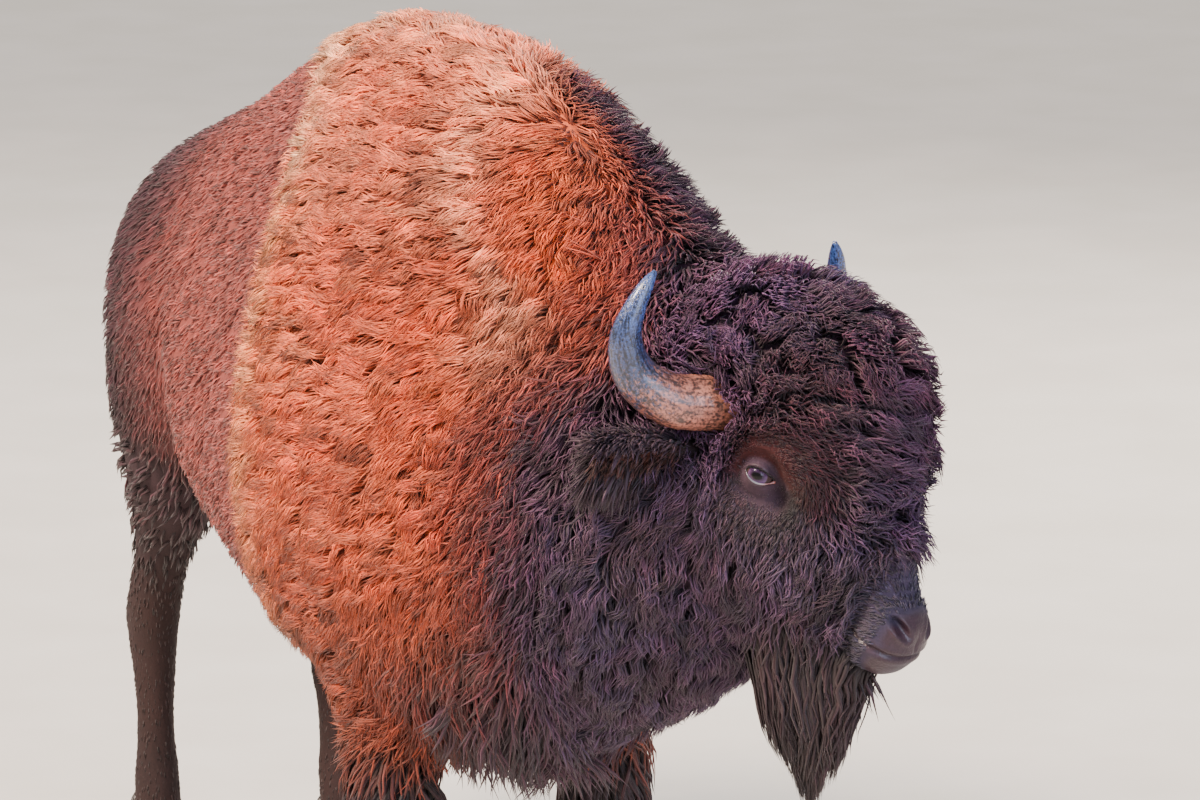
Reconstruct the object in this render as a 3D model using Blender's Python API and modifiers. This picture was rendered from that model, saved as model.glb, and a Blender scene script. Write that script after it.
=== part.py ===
"""Life-size still model of a bison bull in winter coat, standing with its head lowered and turned left.

Metres, +Z up. The trunk faces +X, the animal's left is +Y, and the soles of the eight claws lie on Z = 0.
The flesh and its coat are one form: lofted masses joined by a voxel remesh, smoothed and modelled with soft
presses, then parted with thin plane cuts. Horns, eyes, ears, tail and hooves are pieces of their own, each
seated in a socket that clears it.
"""

import math

import bmesh
import bpy
import numpy as np
from mathutils import Matrix, Vector

# ---- driving dimensions ----
HUMP_HEIGHT = 1.812  # top of the coat over the withers
GAP = 0.0006  # between two pieces that touch
SOCKET_GAP = 0.0012  # between a piece and its socket
EAR_SOCKET_GAP = 0.0025  # more, because an ear's leaf is thin and sharp
FORM_VOXEL = 0.016
CORONET_HEIGHT = 0.078  # top of the hooves
LEG_SPREAD_FORE = 0.195  # from the middle plane to a foreleg
LEG_SPREAD_HIND = 0.155
# how far each foot stands ahead of its square place
STEP = {"fore_right": 0.07, "fore_left": -0.05, "hind_right": -0.06, "hind_left": 0.09}
STEP_FADE = 1.0  # height at which a leg no longer swings with its step
SIDES = {"right": -1, "left": 1}

# ---- pose of the head, which the neck carries out in front of the hump ----
POLL = Vector((0.788, 0.192, 1.340))
HEAD_YAW = math.radians(31.2)  # to the left
HEAD_PITCH = math.radians(36.1)  # down
HEAD_ROLL = math.radians(2.9)  # its crown leans to the right

# ---- lofted masses ----
# Trunk and neck. Along the spine line: distance from the hump, top, bottom and half width of the section,
# height of its widest place, and the powers of its upper and lower halves (2 is round, less is peaked).
TRUNK = [
    (-1.56, 1.19, 1.00, 0.070, 1.09, 2.0, 2.0),  # point of the rump
    (-1.51, 1.300, 0.94, 0.185, 1.10, 1.9, 2.0),
    (-1.41, 1.392, 0.885, 0.268, 1.10, 1.9, 2.0),  # tail head
    (-1.20, 1.478, 0.845, 0.305, 1.09, 1.8, 2.0),  # croup
    (-0.95, 1.562, 0.790, 0.318, 1.06, 1.75, 2.0),  # loin
    (-0.68, 1.680, 0.715, 0.342, 1.01, 1.75, 2.1),
    (-0.42, 1.765, 0.655, 0.362, 0.99, 1.7, 2.2),  # ribs
    (-0.15, 1.802, 0.615, 0.388, 1.00, 1.65, 2.2),
    (0.10, HUMP_HEIGHT, 0.600, 0.388, 1.01, 1.65, 2.1),  # hump
    (0.28, 1.806, 0.600, 0.368, 1.02, 1.70, 2.0),
    (0.44, 1.755, 0.625, 0.335, 1.04, 1.75, 1.9),  # shoulder point and brisket
    (0.60, 1.645, 0.690, 0.298, 1.06, 1.80, 1.8),  # neck
    (0.76, 1.515, 0.775, 0.255, 1.09, 1.9, 1.8),
    (0.90, 1.405, 0.890, 0.175, 1.13, 2.0, 2.0),
]
NECK_BEND_START, NECK_BEND_END = 0.15, 0.85  # along the spine line
NECK_BEND = math.radians(42)

# Head, in the head frame: x, height of the widest place, half width, reach above and below it, powers.
HEAD = [
    (-0.17, -0.08, 0.100, 0.130, 0.120, 2.0, 2.0),
    (-0.10, -0.08, 0.160, 0.235, 0.220, 2.1, 2.0),
    (0.00, -0.09, 0.190, 0.310, 0.280, 2.3, 2.0),  # crown
    (0.10, -0.10, 0.196, 0.352, 0.290, 2.4, 1.9),
    (0.20, -0.10, 0.186, 0.362, 0.275, 2.4, 1.9),  # eyes
    (0.28, -0.105, 0.160, 0.335, 0.240, 2.3, 1.9),
    (0.35, -0.115, 0.128, 0.270, 0.190, 2.1, 2.0),
    (0.405, -0.12, 0.100, 0.170, 0.145, 2.0, 2.1),
    (0.44, -0.125, 0.083, 0.092, 0.112, 2.0, 2.2),  # bridge of the nose
    (0.48, -0.130, 0.072, 0.067, 0.090, 2.3, 2.3),
    (0.505, -0.133, 0.068, 0.060, 0.078, 2.4, 2.4),  # nostrils
    (0.526, -0.136, 0.056, 0.048, 0.064, 2.4, 2.4),
    (0.537, -0.138, 0.030, 0.028, 0.038, 2.2, 2.2),
]

# Beard under the chin, from the top down: height above the chin, how far ahead of it, half length and half
# width.
CHIN = Vector((0.455, 0.0, -0.215))  # in the head frame
BEARD = [
    (0.08, -0.09, 0.130, 0.080),
    (-0.02, -0.09, 0.132, 0.080),
    (-0.11, -0.09, 0.112, 0.068),
    (-0.19, -0.09, 0.080, 0.050),
    (-0.255, -0.09, 0.046, 0.031),
    (-0.295, -0.09, 0.018, 0.014),
]

# Leg masses, from the top down: height, how far ahead of the foot's place, half length, half width.
FORELEG = [
    (1.02, -0.03, 0.175, 0.115),
    (0.86, -0.01, 0.160, 0.116),
    (0.72, 0.01, 0.136, 0.108),  # elbow
    (0.60, 0.025, 0.117, 0.098),  # forearm, in long hair
    (0.50, 0.03, 0.103, 0.088),
    (0.435, 0.028, 0.084, 0.073),  # hem of the long hair
    (0.39, 0.025, 0.061, 0.057),  # knee
    (0.34, 0.02, 0.049, 0.046),
    (0.26, 0.01, 0.042, 0.040),  # cannon
    (0.185, 0.005, 0.048, 0.047),  # fetlock
    (0.13, 0.02, 0.045, 0.050),
    (0.075, 0.045, 0.058, 0.058),  # coronet
    (0.05, 0.05, 0.058, 0.058),
]
HIND_LEG = [
    (1.12, 0.06, 0.230, 0.100),
    (1.02, 0.07, 0.262, 0.134),  # thigh
    (0.91, 0.09, 0.250, 0.138),
    (0.79, 0.09, 0.200, 0.116),  # stifle
    (0.69, 0.04, 0.143, 0.085),
    (0.60, -0.03, 0.102, 0.065),
    (0.52, -0.07, 0.082, 0.054),  # hock
    (0.44, -0.065, 0.060, 0.047),
    (0.31, -0.045, 0.045, 0.041),  # cannon
    (0.185, -0.03, 0.051, 0.048),  # fetlock
    (0.13, -0.015, 0.046, 0.051),
    (0.075, 0.01, 0.058, 0.058),  # coronet
    (0.05, 0.015, 0.058, 0.058),
]
FORE_PLACE, HIND_PLACE = 0.10, -1.29  # x of a foot's square place
LEGS = {
    "fore": (FORELEG, FORE_PLACE, LEG_SPREAD_FORE),
    "hind": (HIND_LEG, HIND_PLACE, LEG_SPREAD_HIND),
}

# Soft presses on the form, in the head frame and on both sides: middle, reach and push.
PRESSES = [
    (Vector((0.205, -0.195, -0.035)), Vector((0.050, 0.12, 0.048)), Vector((0.0, 0.030, 0.0))),  # eye
    (Vector((0.262, -0.170, -0.070)), Vector((0.045, 0.10, 0.050)), Vector((0.0, 0.020, 0.0))),  # tear pit
    (Vector((0.050, -0.190, -0.010)), Vector((0.065, 0.10, 0.055)), Vector((0.0, 0.040, 0.0))),  # horn
    (Vector((0.010, -0.200, -0.130)), Vector((0.060, 0.10, 0.055)), Vector((0.0, 0.025, 0.0))),  # ear
    (Vector((0.130, -0.185, 0.150)), Vector((0.090, 0.12, 0.080)), Vector((0.0, -0.012, 0.0))),  # bonnet
]
# The trunk is smoothed further above this height and behind this x, over this fade.
SOFT_FROM, SOFT_AHEAD, SOFT_FADE = 0.50, 0.55, 0.14

# ---- pieces of their own ----
# Right horn, in the head frame: centre line and radius, from its root in the skull to the tip.
HORN = [
    (0.085, -0.085, 0.000, 0.046),
    (0.056, -0.135, -0.015, 0.046),
    (0.025, -0.195, -0.027, 0.043),
    (-0.025, -0.245, -0.010, 0.0355),
    (-0.060, -0.268, 0.036, 0.0265),
    (-0.080, -0.262, 0.087, 0.0175),
    (-0.095, -0.242, 0.128, 0.0085),
    (-0.099, -0.235, 0.139, 0.0035),
]
EYE = Vector((0.203, -0.140, -0.030))  # the right one, in the head frame
EYE_RADIUS = 0.0235

# Right ear, in the head frame: where it leaves the head, its tip, and the way its hollow faces.
EAR_ROOT = Vector((0.088, -0.135, -0.095))
EAR_TIP = Vector((-0.005, -0.300, -0.170))
EAR_FACES = Vector((0.60, -0.65, -0.25))
# Along the ear from root to tip: share of its length, half width, half thickness, depth of the hollow.
EAR = [
    (0.00, 0.026, 0.024, 0.002),
    (0.18, 0.034, 0.022, 0.008),
    (0.42, 0.045, 0.017, 0.016),
    (0.66, 0.043, 0.014, 0.016),
    (0.86, 0.030, 0.012, 0.009),
    (0.97, 0.013, 0.008, 0.003),
    (1.00, 0.005, 0.005, 0.000),
]

# Tail: centre line and radius, from inside the rump down to the tassel, and on to its tip.
TAIL = [
    (-1.43, 0.0, 1.310, 0.032),
    (-1.53, 0.0, 1.305, 0.031),
    (-1.59, 0.0, 1.250, 0.028),
    (-1.612, 0.004, 1.160, 0.024),
    (-1.618, 0.010, 1.030, 0.020),
    (-1.618, 0.014, 0.920, 0.019),
]
TASSEL = [
    (-1.618, 0.014, 0.920 - GAP, 0.019),
    (-1.618, 0.015, 0.870, 0.030),
    (-1.617, 0.016, 0.790, 0.043),
    (-1.615, 0.017, 0.700, 0.040),
    (-1.612, 0.018, 0.630, 0.024),
    (-1.610, 0.018, 0.585, 0.007),
]

# Claw of a hoof: height as a share of the hoof, then the reach of its outline ahead, back and to each side.
CLAW = [
    (0.00, 0.078, 0.050, 0.0250),
    (0.06, 0.083, 0.054, 0.0275),
    (0.50, 0.066, 0.055, 0.0270),
    (1.00, 0.048, 0.052, 0.0255),
]
CLAW_OFFSET = 0.0290  # from the middle of the foot to the middle of a claw
CLAW_POINT = 1.7  # power of the outline ahead, less is more pointed
SOLE_AHEAD = {"fore": 0.050, "hind": 0.015}  # from the foot's place to the middle of its claws
# Dewclaw, from its place on the heel of the fetlock: centre line in x and z, and radius.
DEWCLAW_HEIGHT, DEWCLAW_OFFSET = 0.150, 0.024
DEWCLAW = [
    (0.016, 0.012, 0.0160),
    (-0.006, -0.004, 0.0145),
    (-0.017, -0.018, 0.0090),
    (-0.021, -0.026, 0.0030),
]

# ---- where the form is parted ----
HEAD_CUT = Vector((-0.12, 0.0, 0.0))  # in the head frame
HEAD_CUT_TILT = math.radians(19)
MUZZLE_BACK = 0.425  # x of the muzzle's cut in the head frame
JAW_LINE = -0.235  # z of the beard's cut in the head frame
BEARD_BACK = 0.30
NECK_CUT_AT = 0.46  # along the spine line
SHOULDER_BACK, LOIN_FRONT = -0.25, -0.92  # x of the trunk's two cuts
FORE_TOP, KNEE_CUT = 0.585, 0.405  # heights of the legs' cuts
HIND_TOP, HOCK_CUT = 0.77, 0.56
FINE, COARSE = 0.058, 0.036  # share of the form's faces kept
LEG_SPAN = {"fore": (-0.22, 0.42), "hind": (-1.80, -0.93)}  # x from back to front of a leg's space
BLOCK = 6.0  # side of the cube that stands for a half-space

# ---- colours (linear) and roughness of each slot ----
MATERIALS = {
    "dark_brown_coat": ((0.085, 0.045, 0.038), 0.85),
    "cape_coat": ((0.420, 0.190, 0.105), 0.85),
    "rump_coat": ((0.200, 0.095, 0.075), 0.80),
    "long_dark_hair": ((0.060, 0.032, 0.026), 0.85),
    "nose_skin": ((0.075, 0.055, 0.058), 0.45),
    "ear_coat": ((0.140, 0.070, 0.050), 0.85),
    "horn": ((0.110, 0.100, 0.105), 0.40),
    "hoof": ((0.035, 0.030, 0.028), 0.55),
    "eye": ((0.018, 0.009, 0.007), 0.08),
}


# ---- functions of shape ----
def head_matrix():
    """Head frame to model frame: x from the poll to the nose, y to the animal's left, z out of the brow."""
    turn = Matrix.Rotation(HEAD_YAW, 4, "Z") @ Matrix.Rotation(HEAD_PITCH, 4, "Y")
    return Matrix.Translation(POLL) @ turn @ Matrix.Rotation(-HEAD_ROLL, 4, "X")


def leg_swing(end, side, height):
    """How far a step carries its leg ahead at this height: none above STEP_FADE, all of it at the hooves."""
    share = np.clip(1 - height / STEP_FADE, 0, 1) / (1 - CORONET_HEIGHT / STEP_FADE)
    return STEP[end + "_" + side] * share


def smooth_rows(rows, steps):
    """Rows resampled evenly along a Hermite curve through them, with slopes by finite differences."""
    rows = np.array(rows, float)
    at = rows[:, 0]
    slopes = np.gradient(rows, at, axis=0)
    wanted = np.linspace(at[0], at[-1], steps)
    k = np.clip(np.searchsorted(at, wanted, side="right") - 1, 0, len(at) - 2)
    span = at[k + 1] - at[k]
    t = ((wanted - at[k]) / span)[:, None]
    a, b = rows[k], rows[k + 1]
    return (
        (2 * t**3 - 3 * t**2 + 1) * a
        + (t**3 - 2 * t**2 + t) * slopes[k] * span[:, None]
        + (3 * t**2 - 2 * t**3) * b
        + (t**3 - t**2) * slopes[k + 1] * span[:, None]
    )


def section(segments, half_width, up, down, power_up, power_down):
    """Superellipse rings, one a row: side and height, with its own reach and power above and below."""
    angle = np.linspace(0, 2 * math.pi, segments, endpoint=False)
    c, s = np.cos(angle)[None, :], np.sin(angle)[None, :]
    power = np.where(s > 0, power_up[:, None], power_down[:, None])
    reach = np.where(s > 0, up[:, None], down[:, None])
    size = (np.abs(c) ** power + np.abs(s) ** power) ** (-1 / power)
    return size * c * half_width[:, None], size * s * reach


def tube_mesh(name, rings):
    """A closed mesh through rings (count, segments, 3), its two ends closed by a middle point each."""
    count, segments, _ = rings.shape
    points = np.concatenate([rings.reshape(-1, 3), rings[:1].mean(1), rings[-1:].mean(1)])
    ring, step = np.meshgrid(np.arange(count - 1), np.arange(segments), indexing="ij")
    after = (step + 1) % segments
    quads = np.stack([ring * segments + step, ring * segments + after,
                      (ring + 1) * segments + after, (ring + 1) * segments + step], -1).reshape(-1, 4)
    around = np.arange(segments)
    first = np.stack([np.full(segments, count * segments), np.roll(around, -1), around], -1)
    last = np.stack([np.full(segments, count * segments + 1), around, np.roll(around, -1)], -1)
    last[:, 1:] += (count - 1) * segments
    mesh = bpy.data.meshes.new(name)
    mesh.from_pydata(points.tolist(), [], quads.tolist() + first.tolist() + last.tolist())
    return mesh


def spine_line(along):
    """Plan position and heading of the spine line at each distance along it: straight, then a bend left."""
    fine = np.linspace(TRUNK[0][0], TRUNK[-1][0], 400)
    share = np.clip((fine - NECK_BEND_START) / (NECK_BEND_END - NECK_BEND_START), 0, 1)
    heading = NECK_BEND * share * share * (3 - 2 * share)
    x = np.concatenate([[0], np.cumsum(np.diff(fine) * np.cos(heading[1:]))]) + fine[0]
    y = np.concatenate([[0], np.cumsum(np.diff(fine) * np.sin(heading[1:]))])
    return np.interp(along, fine, x), np.interp(along, fine, y), np.interp(along, fine, heading)


def trunk_mesh():
    rows = smooth_rows(TRUNK, 70)
    along, top, bottom, half, widest, power_up, power_down = rows.T
    side, height = section(56, half, top - widest, widest - bottom, power_up, power_down)
    x, y, heading = spine_line(along)
    rings = np.stack([x[:, None] - np.sin(heading)[:, None] * side,
                      y[:, None] + np.cos(heading)[:, None] * side,
                      widest[:, None] + height], -1)
    return tube_mesh("trunk_mass", rings)


def head_mesh():
    rows = smooth_rows(HEAD, 44)
    x, middle, half, up, down, power_up, power_down = rows.T
    side, height = section(48, half, up, down, power_up, power_down)
    rings = np.stack([np.broadcast_to(x[:, None], side.shape), side, middle[:, None] + height], -1)
    mesh = tube_mesh("head_mass", rings)
    mesh.transform(head_matrix())
    return mesh


def leg_mesh(end, side):
    """One leg: level oval rings down a line that swings ahead or back with the foot's step."""
    table, place, spread = LEGS[end]
    rows = smooth_rows([(-r[0], *r) for r in table], 44)[:, 1:]
    height, ahead, half_length, half_width = rows.T
    swing = leg_swing(end, side, height)
    angle = np.linspace(0, 2 * math.pi, 26, endpoint=False)
    x = (place + ahead + swing)[:, None] + half_length[:, None] * np.cos(angle)
    y = SIDES[side] * spread + half_width[:, None] * np.sin(angle)
    rings = np.stack([x, y, np.broadcast_to(height[:, None], x.shape)], -1)
    mesh = tube_mesh("leg_mass", rings[::-1])
    return mesh


def along_rows(rows, steps):
    """Rows of point and radius resampled along their own length."""
    rows = np.array(rows, float)
    length = np.concatenate([[0], np.cumsum(np.linalg.norm(np.diff(rows[:, :3], axis=0), axis=1))])
    return smooth_rows(np.column_stack([length, rows]), steps)[:, 1:]


def horn_like_mesh(rows, steps, segments):
    """A tapering tube: a curve whose bevel follows each point's radius, capped, made a mesh and welded."""
    curve = bpy.data.curves.new("taper", "CURVE")
    curve.dimensions = "3D"
    curve.bevel_depth = 1.0
    curve.bevel_resolution = segments // 4 - 1
    curve.use_fill_caps = True
    curve.twist_mode = "MINIMUM"
    spline = curve.splines.new("POLY")
    rows = along_rows(rows, steps)
    spline.points.add(len(rows) - 1)
    for point, (x, y, z, radius) in zip(spline.points, rows):
        point.co = (x, y, z, 1.0)
        point.radius = radius
    guide = bpy.data.objects.new("taper", curve)
    bpy.context.scene.collection.objects.link(guide)
    mesh = evaluated_mesh(guide)
    bpy.data.objects.remove(guide)
    work = bmesh.new()
    work.from_mesh(mesh)
    bmesh.ops.remove_doubles(work, verts=work.verts[:], dist=0.00005)
    bmesh.ops.recalc_face_normals(work, faces=work.faces[:])
    work.to_mesh(mesh)
    work.free()
    return mesh


def beard_mesh():
    """Level oval rings hanging straight down from the chin, turned to face as the head does."""
    rows = smooth_rows([(-r[0], *r) for r in BEARD], 20)[:, 1:]
    height, ahead, half_length, half_width = rows.T
    angle = np.linspace(0, 2 * math.pi, 24, endpoint=False)
    x = ahead[:, None] + half_length[:, None] * np.cos(angle)
    y = half_width[:, None] * np.sin(angle)
    rings = np.stack([x, y, np.broadcast_to(height[:, None], x.shape)], -1)
    mesh = tube_mesh("beard_mass", rings[::-1])
    mesh.transform(Matrix.Translation(head_matrix() @ CHIN) @ Matrix.Rotation(HEAD_YAW, 4, "Z"))
    return mesh


def mirrored(rows):
    """The same rows on the animal's left: y changes sign."""
    return [(row[0], -row[1], *row[2:]) for row in rows]


def on_side(vector, side):
    """A place or direction given for the right side, on this side."""
    return Vector((vector.x, -SIDES[side] * vector.y, vector.z))


def ear_mesh(side):
    """A leaf, in the head frame: oval rings from root to tip, each bent by a parabola round the hollow."""
    share, half, thick, hollow = smooth_rows(EAR, 9)[:, :, None].transpose(1, 0, 2)
    angle = np.linspace(0, 2 * math.pi, 12, endpoint=False)[None, :]
    across = half * np.cos(angle)
    through = thick * np.sin(angle) - hollow * (1 - np.cos(angle) ** 2)
    root, tip = on_side(EAR_ROOT, side), on_side(EAR_TIP, side)
    line = tip - root
    faces = on_side(EAR_FACES, side)
    faces = (faces - line * (faces @ line) / line.length_squared).normalized()
    wide = faces.cross(line).normalized()
    rings = (np.array(root) + share[..., None] * np.array(line)
             + across[..., None] * np.array(wide) + through[..., None] * np.array(faces))
    return tube_mesh("ear", rings)


def ball_mesh(radius, segments, rings):
    ball = bmesh.new()
    bmesh.ops.create_uvsphere(ball, u_segments=segments, v_segments=rings, radius=radius)
    mesh = bpy.data.meshes.new("ball")
    ball.to_mesh(mesh)
    ball.free()
    return mesh


def claw_mesh():
    """A claw about its own middle: level rings from the flat sole to the coronet."""
    share, ahead, back, half = np.array(CLAW)[:, :, None].transpose(1, 0, 2)
    angle = np.linspace(0, 2 * math.pi, 14, endpoint=False)[None, :]
    reach = np.where(np.cos(angle) > 0, ahead, back)
    power = np.where(np.cos(angle) > 0, CLAW_POINT, 2.4)
    size = (np.abs(np.cos(angle)) ** power + np.abs(np.sin(angle)) ** power) ** (-1 / power)
    height = share * (CORONET_HEIGHT - GAP) * np.ones_like(angle)
    rings = np.stack([reach * size * np.cos(angle), half * size * np.sin(angle), height], -1)
    return tube_mesh("claw", rings)


def foot_place(end, side, claw):
    """Middle of one of a foot's two claws, on the floor."""
    _, place, spread = LEGS[end]
    x = place + SOLE_AHEAD[end] + leg_swing(end, side, CORONET_HEIGHT)
    return Vector((x, SIDES[side] * spread + claw * CLAW_OFFSET, 0.0))


def dewclaw_place(end, side, claw):
    """On the heel of the fetlock, where the leg's own outline ends."""
    table, place, spread = LEGS[end]
    heel = np.interp(-DEWCLAW_HEIGHT, [-row[0] for row in table], [row[1] - row[2] for row in table])
    x = place + heel + leg_swing(end, side, DEWCLAW_HEIGHT)
    return Vector((x, SIDES[side] * spread + claw * DEWCLAW_OFFSET, DEWCLAW_HEIGHT))


def joined(name, meshes):
    """One object that holds all these meshes as loose shells."""
    work = bmesh.new()
    for mesh in meshes:
        work.from_mesh(mesh)
    bmesh.ops.recalc_face_normals(work, faces=work.faces[:])
    mesh = bpy.data.meshes.new(name)
    work.to_mesh(mesh)
    work.free()
    return bpy.data.objects.new(name, mesh)


def evaluated_mesh(obj):
    graph = bpy.context.evaluated_depsgraph_get()
    graph.update()
    return bpy.data.meshes.new_from_object(obj.evaluated_get(graph))


def coordinates(mesh):
    points = np.empty(len(mesh.vertices) * 3, np.float32)
    mesh.vertices.foreach_get("co", points)
    return points.reshape(-1, 3).astype(float)


def pressed(points):
    """Each point moved by every press, fading with the square of its distance in reaches."""
    frame = np.array(head_matrix())
    for middle, reach, push in PRESSES:
        for side in SIDES:
            centre = frame[:3, :3] @ np.array(on_side(middle, side)) + frame[:3, 3]
            local = (points - centre) @ frame[:3, :3] / np.array(reach)
            weight = np.exp(-(local**2).sum(1))
            points = points + weight[:, None] * (frame[:3, :3] @ np.array(on_side(push, side)))
    return points


def soften_trunk(form):
    """Smooths the form more where the legs grow out of the trunk, and not on the head and lower legs."""
    points = coordinates(form.data)
    above = np.clip((points[:, 2] - SOFT_FROM) / SOFT_FADE, 0, 1)
    behind = np.clip((SOFT_AHEAD - points[:, 0]) / SOFT_FADE, 0, 1)
    group = form.vertex_groups.new(name="trunk")
    for index, weight in enumerate(above * behind):
        group.add((index,), float(weight), "REPLACE")
    smooth = form.modifiers.new("soften_trunk", "SMOOTH")
    smooth.factor = 0.8
    smooth.iterations = 40
    smooth.vertex_group = "trunk"
    form.data = evaluated_mesh(form)
    form.modifiers.clear()


def build_form(helpers):
    """The whole flesh and coat as one closed mesh."""
    masses = [trunk_mesh(), head_mesh(), beard_mesh()]
    masses += [leg_mesh(end, side) for end in LEGS for side in SIDES]
    form = joined("form", masses)
    helpers.objects.link(form)
    remesh = form.modifiers.new("one_skin", "REMESH")
    remesh.mode = "VOXEL"
    remesh.voxel_size = FORM_VOXEL
    smooth = form.modifiers.new("soften", "SMOOTH")
    smooth.factor = 0.5
    smooth.iterations = 6
    form.data = evaluated_mesh(form)
    form.modifiers.clear()
    soften_trunk(form)
    points = pressed(coordinates(form.data))
    form.data.vertices.foreach_set("co", points.astype(np.float32).ravel())
    return form


def half_space(point, normal):
    """A big closed block on the side of the plane that its normal points to, half a gap away from it."""
    block = bmesh.new()
    bmesh.ops.create_cube(block, size=BLOCK)
    mesh = bpy.data.meshes.new("block")
    block.to_mesh(mesh)
    block.free()
    normal = Vector(normal).normalized()
    turn = normal.to_track_quat("Z", "Y").to_matrix().to_4x4()
    mesh.transform(Matrix.Translation(Vector(point) + normal * (BLOCK / 2 + GAP / 2)) @ turn)
    return mesh


def box_mesh(low, high, frame=None, grow=0.0):
    block = bmesh.new()
    bmesh.ops.create_cube(block, size=1.0)
    mesh = bpy.data.meshes.new("box")
    block.to_mesh(mesh)
    block.free()
    low, high = Vector(low) - Vector((grow,) * 3), Vector(high) + Vector((grow,) * 3)
    mesh.transform(Matrix.Translation((low + high) / 2) @ Matrix.Diagonal((*(high - low), 1)))
    mesh.transform(frame or Matrix.Identity(4))
    return mesh


def grown(mesh, by):
    """A copy pushed out along its vertices' normals, to cut a socket that clears the piece."""
    bigger = mesh.copy()
    normals = np.empty(len(mesh.vertices) * 3, np.float32)
    mesh.vertices.foreach_get("normal", normals)
    moved = coordinates(mesh) + normals.reshape(-1, 3) * by
    bigger.vertices.foreach_set("co", moved.astype(np.float32).ravel())
    return bigger


class Shop:
    """Makes the nodes, with their cutters kept in the helpers' collection."""

    def __init__(self, model, helpers, root, head):
        self.model, self.helpers, self.root, self.head = model, helpers, root, head
        self.blanks = {}
        self.form = None

    def material(self, obj, slot):
        material = bpy.data.materials.get(slot)
        if material is None:
            material = bpy.data.materials.new(slot)
            material.use_nodes = True
            shader = material.node_tree.nodes["Principled BSDF"]
            colour, roughness = MATERIALS[slot]
            shader.inputs["Base Color"].default_value = (*colour, 1.0)
            shader.inputs["Roughness"].default_value = roughness
            shader.inputs["Metallic"].default_value = 0.0
            material.diffuse_color = (*colour, 1.0)
        obj.data.materials.clear()
        obj.data.materials.append(material)

    def blank(self, ratio):
        """The form with fewer faces."""
        if ratio not in self.blanks:
            obj = self.helper("blank", self.form.data.copy(), self.root)
            fewer = obj.modifiers.new("fewer_faces", "DECIMATE")
            fewer.ratio = ratio
            fewer.use_collapse_triangulate = True
            self.blanks[ratio] = evaluated_mesh(obj)
        return self.blanks[ratio]

    def helper(self, name, mesh, parent, place=(0.0, 0.0, 0.0)):
        obj = bpy.data.objects.new(name, mesh)
        obj.hide_render = True
        obj.display_type = "WIRE"
        obj.parent = parent
        obj.location = place
        self.helpers.objects.link(obj)
        return obj

    def cut(self, obj, cutter, operation):
        boolean = obj.modifiers.new(operation.lower(), "BOOLEAN")
        boolean.operation = operation
        boolean.solver = "EXACT"
        boolean.object = cutter

    def part(self, name, slot, ratio, inside, outside=(), sockets=()):
        """A length of the form: cut by every mesh of inside and outside, and by the socket of each piece."""
        obj = bpy.data.objects.new(name, self.blank(ratio).copy())
        obj.parent = self.root
        self.model.objects.link(obj)
        self.material(obj, slot)
        for mesh in inside:
            self.cut(obj, self.helper("inside_" + name, mesh, self.root), "INTERSECT")
        for mesh in outside:
            self.cut(obj, self.helper("outside_" + name, mesh, self.root), "DIFFERENCE")
        for piece in sockets:
            gap = EAR_SOCKET_GAP if piece.name.startswith("ear") else SOCKET_GAP
            socket = self.helper("socket_" + piece.name, grown(piece.data, gap), piece.parent, piece.location)
            self.cut(obj, socket, "DIFFERENCE")
        obj.data.shade_smooth()
        obj.data.set_sharp_from_angle(angle=math.radians(50))
        return obj

    def piece(self, name, slot, mesh, parent=None, place=(0.0, 0.0, 0.0)):
        """A piece of its own, placed in its parent's frame."""
        obj = joined(name, [mesh])
        obj.parent = parent or self.root
        obj.location = place
        self.model.objects.link(obj)
        self.material(obj, slot)
        obj.data.shade_smooth()
        obj.data.set_sharp_from_angle(angle=math.radians(50))
        return obj


def leg_box(end, side, low, high, grow=0.0):
    """The space of one leg between two heights, from the middle plane out."""
    back, front = LEG_SPAN[end]
    inner, outer = sorted((SIDES[side] * GAP / 2, SIDES[side] * 0.60))
    return box_mesh((back, inner, low), (front, outer, high), grow=grow)


def make_head_pieces(shop):
    """Horns, eyes and ears, each in the head's own frame."""
    pieces = []
    for side in SIDES:
        rows = HORN if side == "right" else mirrored(HORN)
        horn = horn_like_mesh(rows, 14, 12)
        pieces.append(shop.piece("horn_" + side, "horn", horn, shop.head))
        eye = ball_mesh(EYE_RADIUS, 14, 8)
        pieces.append(shop.piece("eye_" + side, "eye", eye, shop.head, on_side(EYE, side)))
        pieces.append(shop.piece("ear_" + side, "ear_coat", ear_mesh(side), shop.head))
    return pieces


def make_feet(shop):
    """Two claws and two dewclaws a foot. It returns the dewclaws of each foot."""
    dewclaws = {}
    for end in LEGS:
        for side in SIDES:
            foot = end + "_" + side
            for claw, letter in ((-1, "a"), (1, "b")):
                name = foot + "_" + letter
                shop.piece("hoof_" + name, "hoof", claw_mesh(), place=foot_place(end, side, claw))
                mesh = horn_like_mesh([(x, 0.0, z, radius) for x, z, radius in DEWCLAW], 4, 8)
                spur = shop.piece("dewclaw_" + name, "hoof", mesh, place=dewclaw_place(end, side, claw))
                dewclaws.setdefault(foot, []).append(spur)
    return dewclaws


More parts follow.
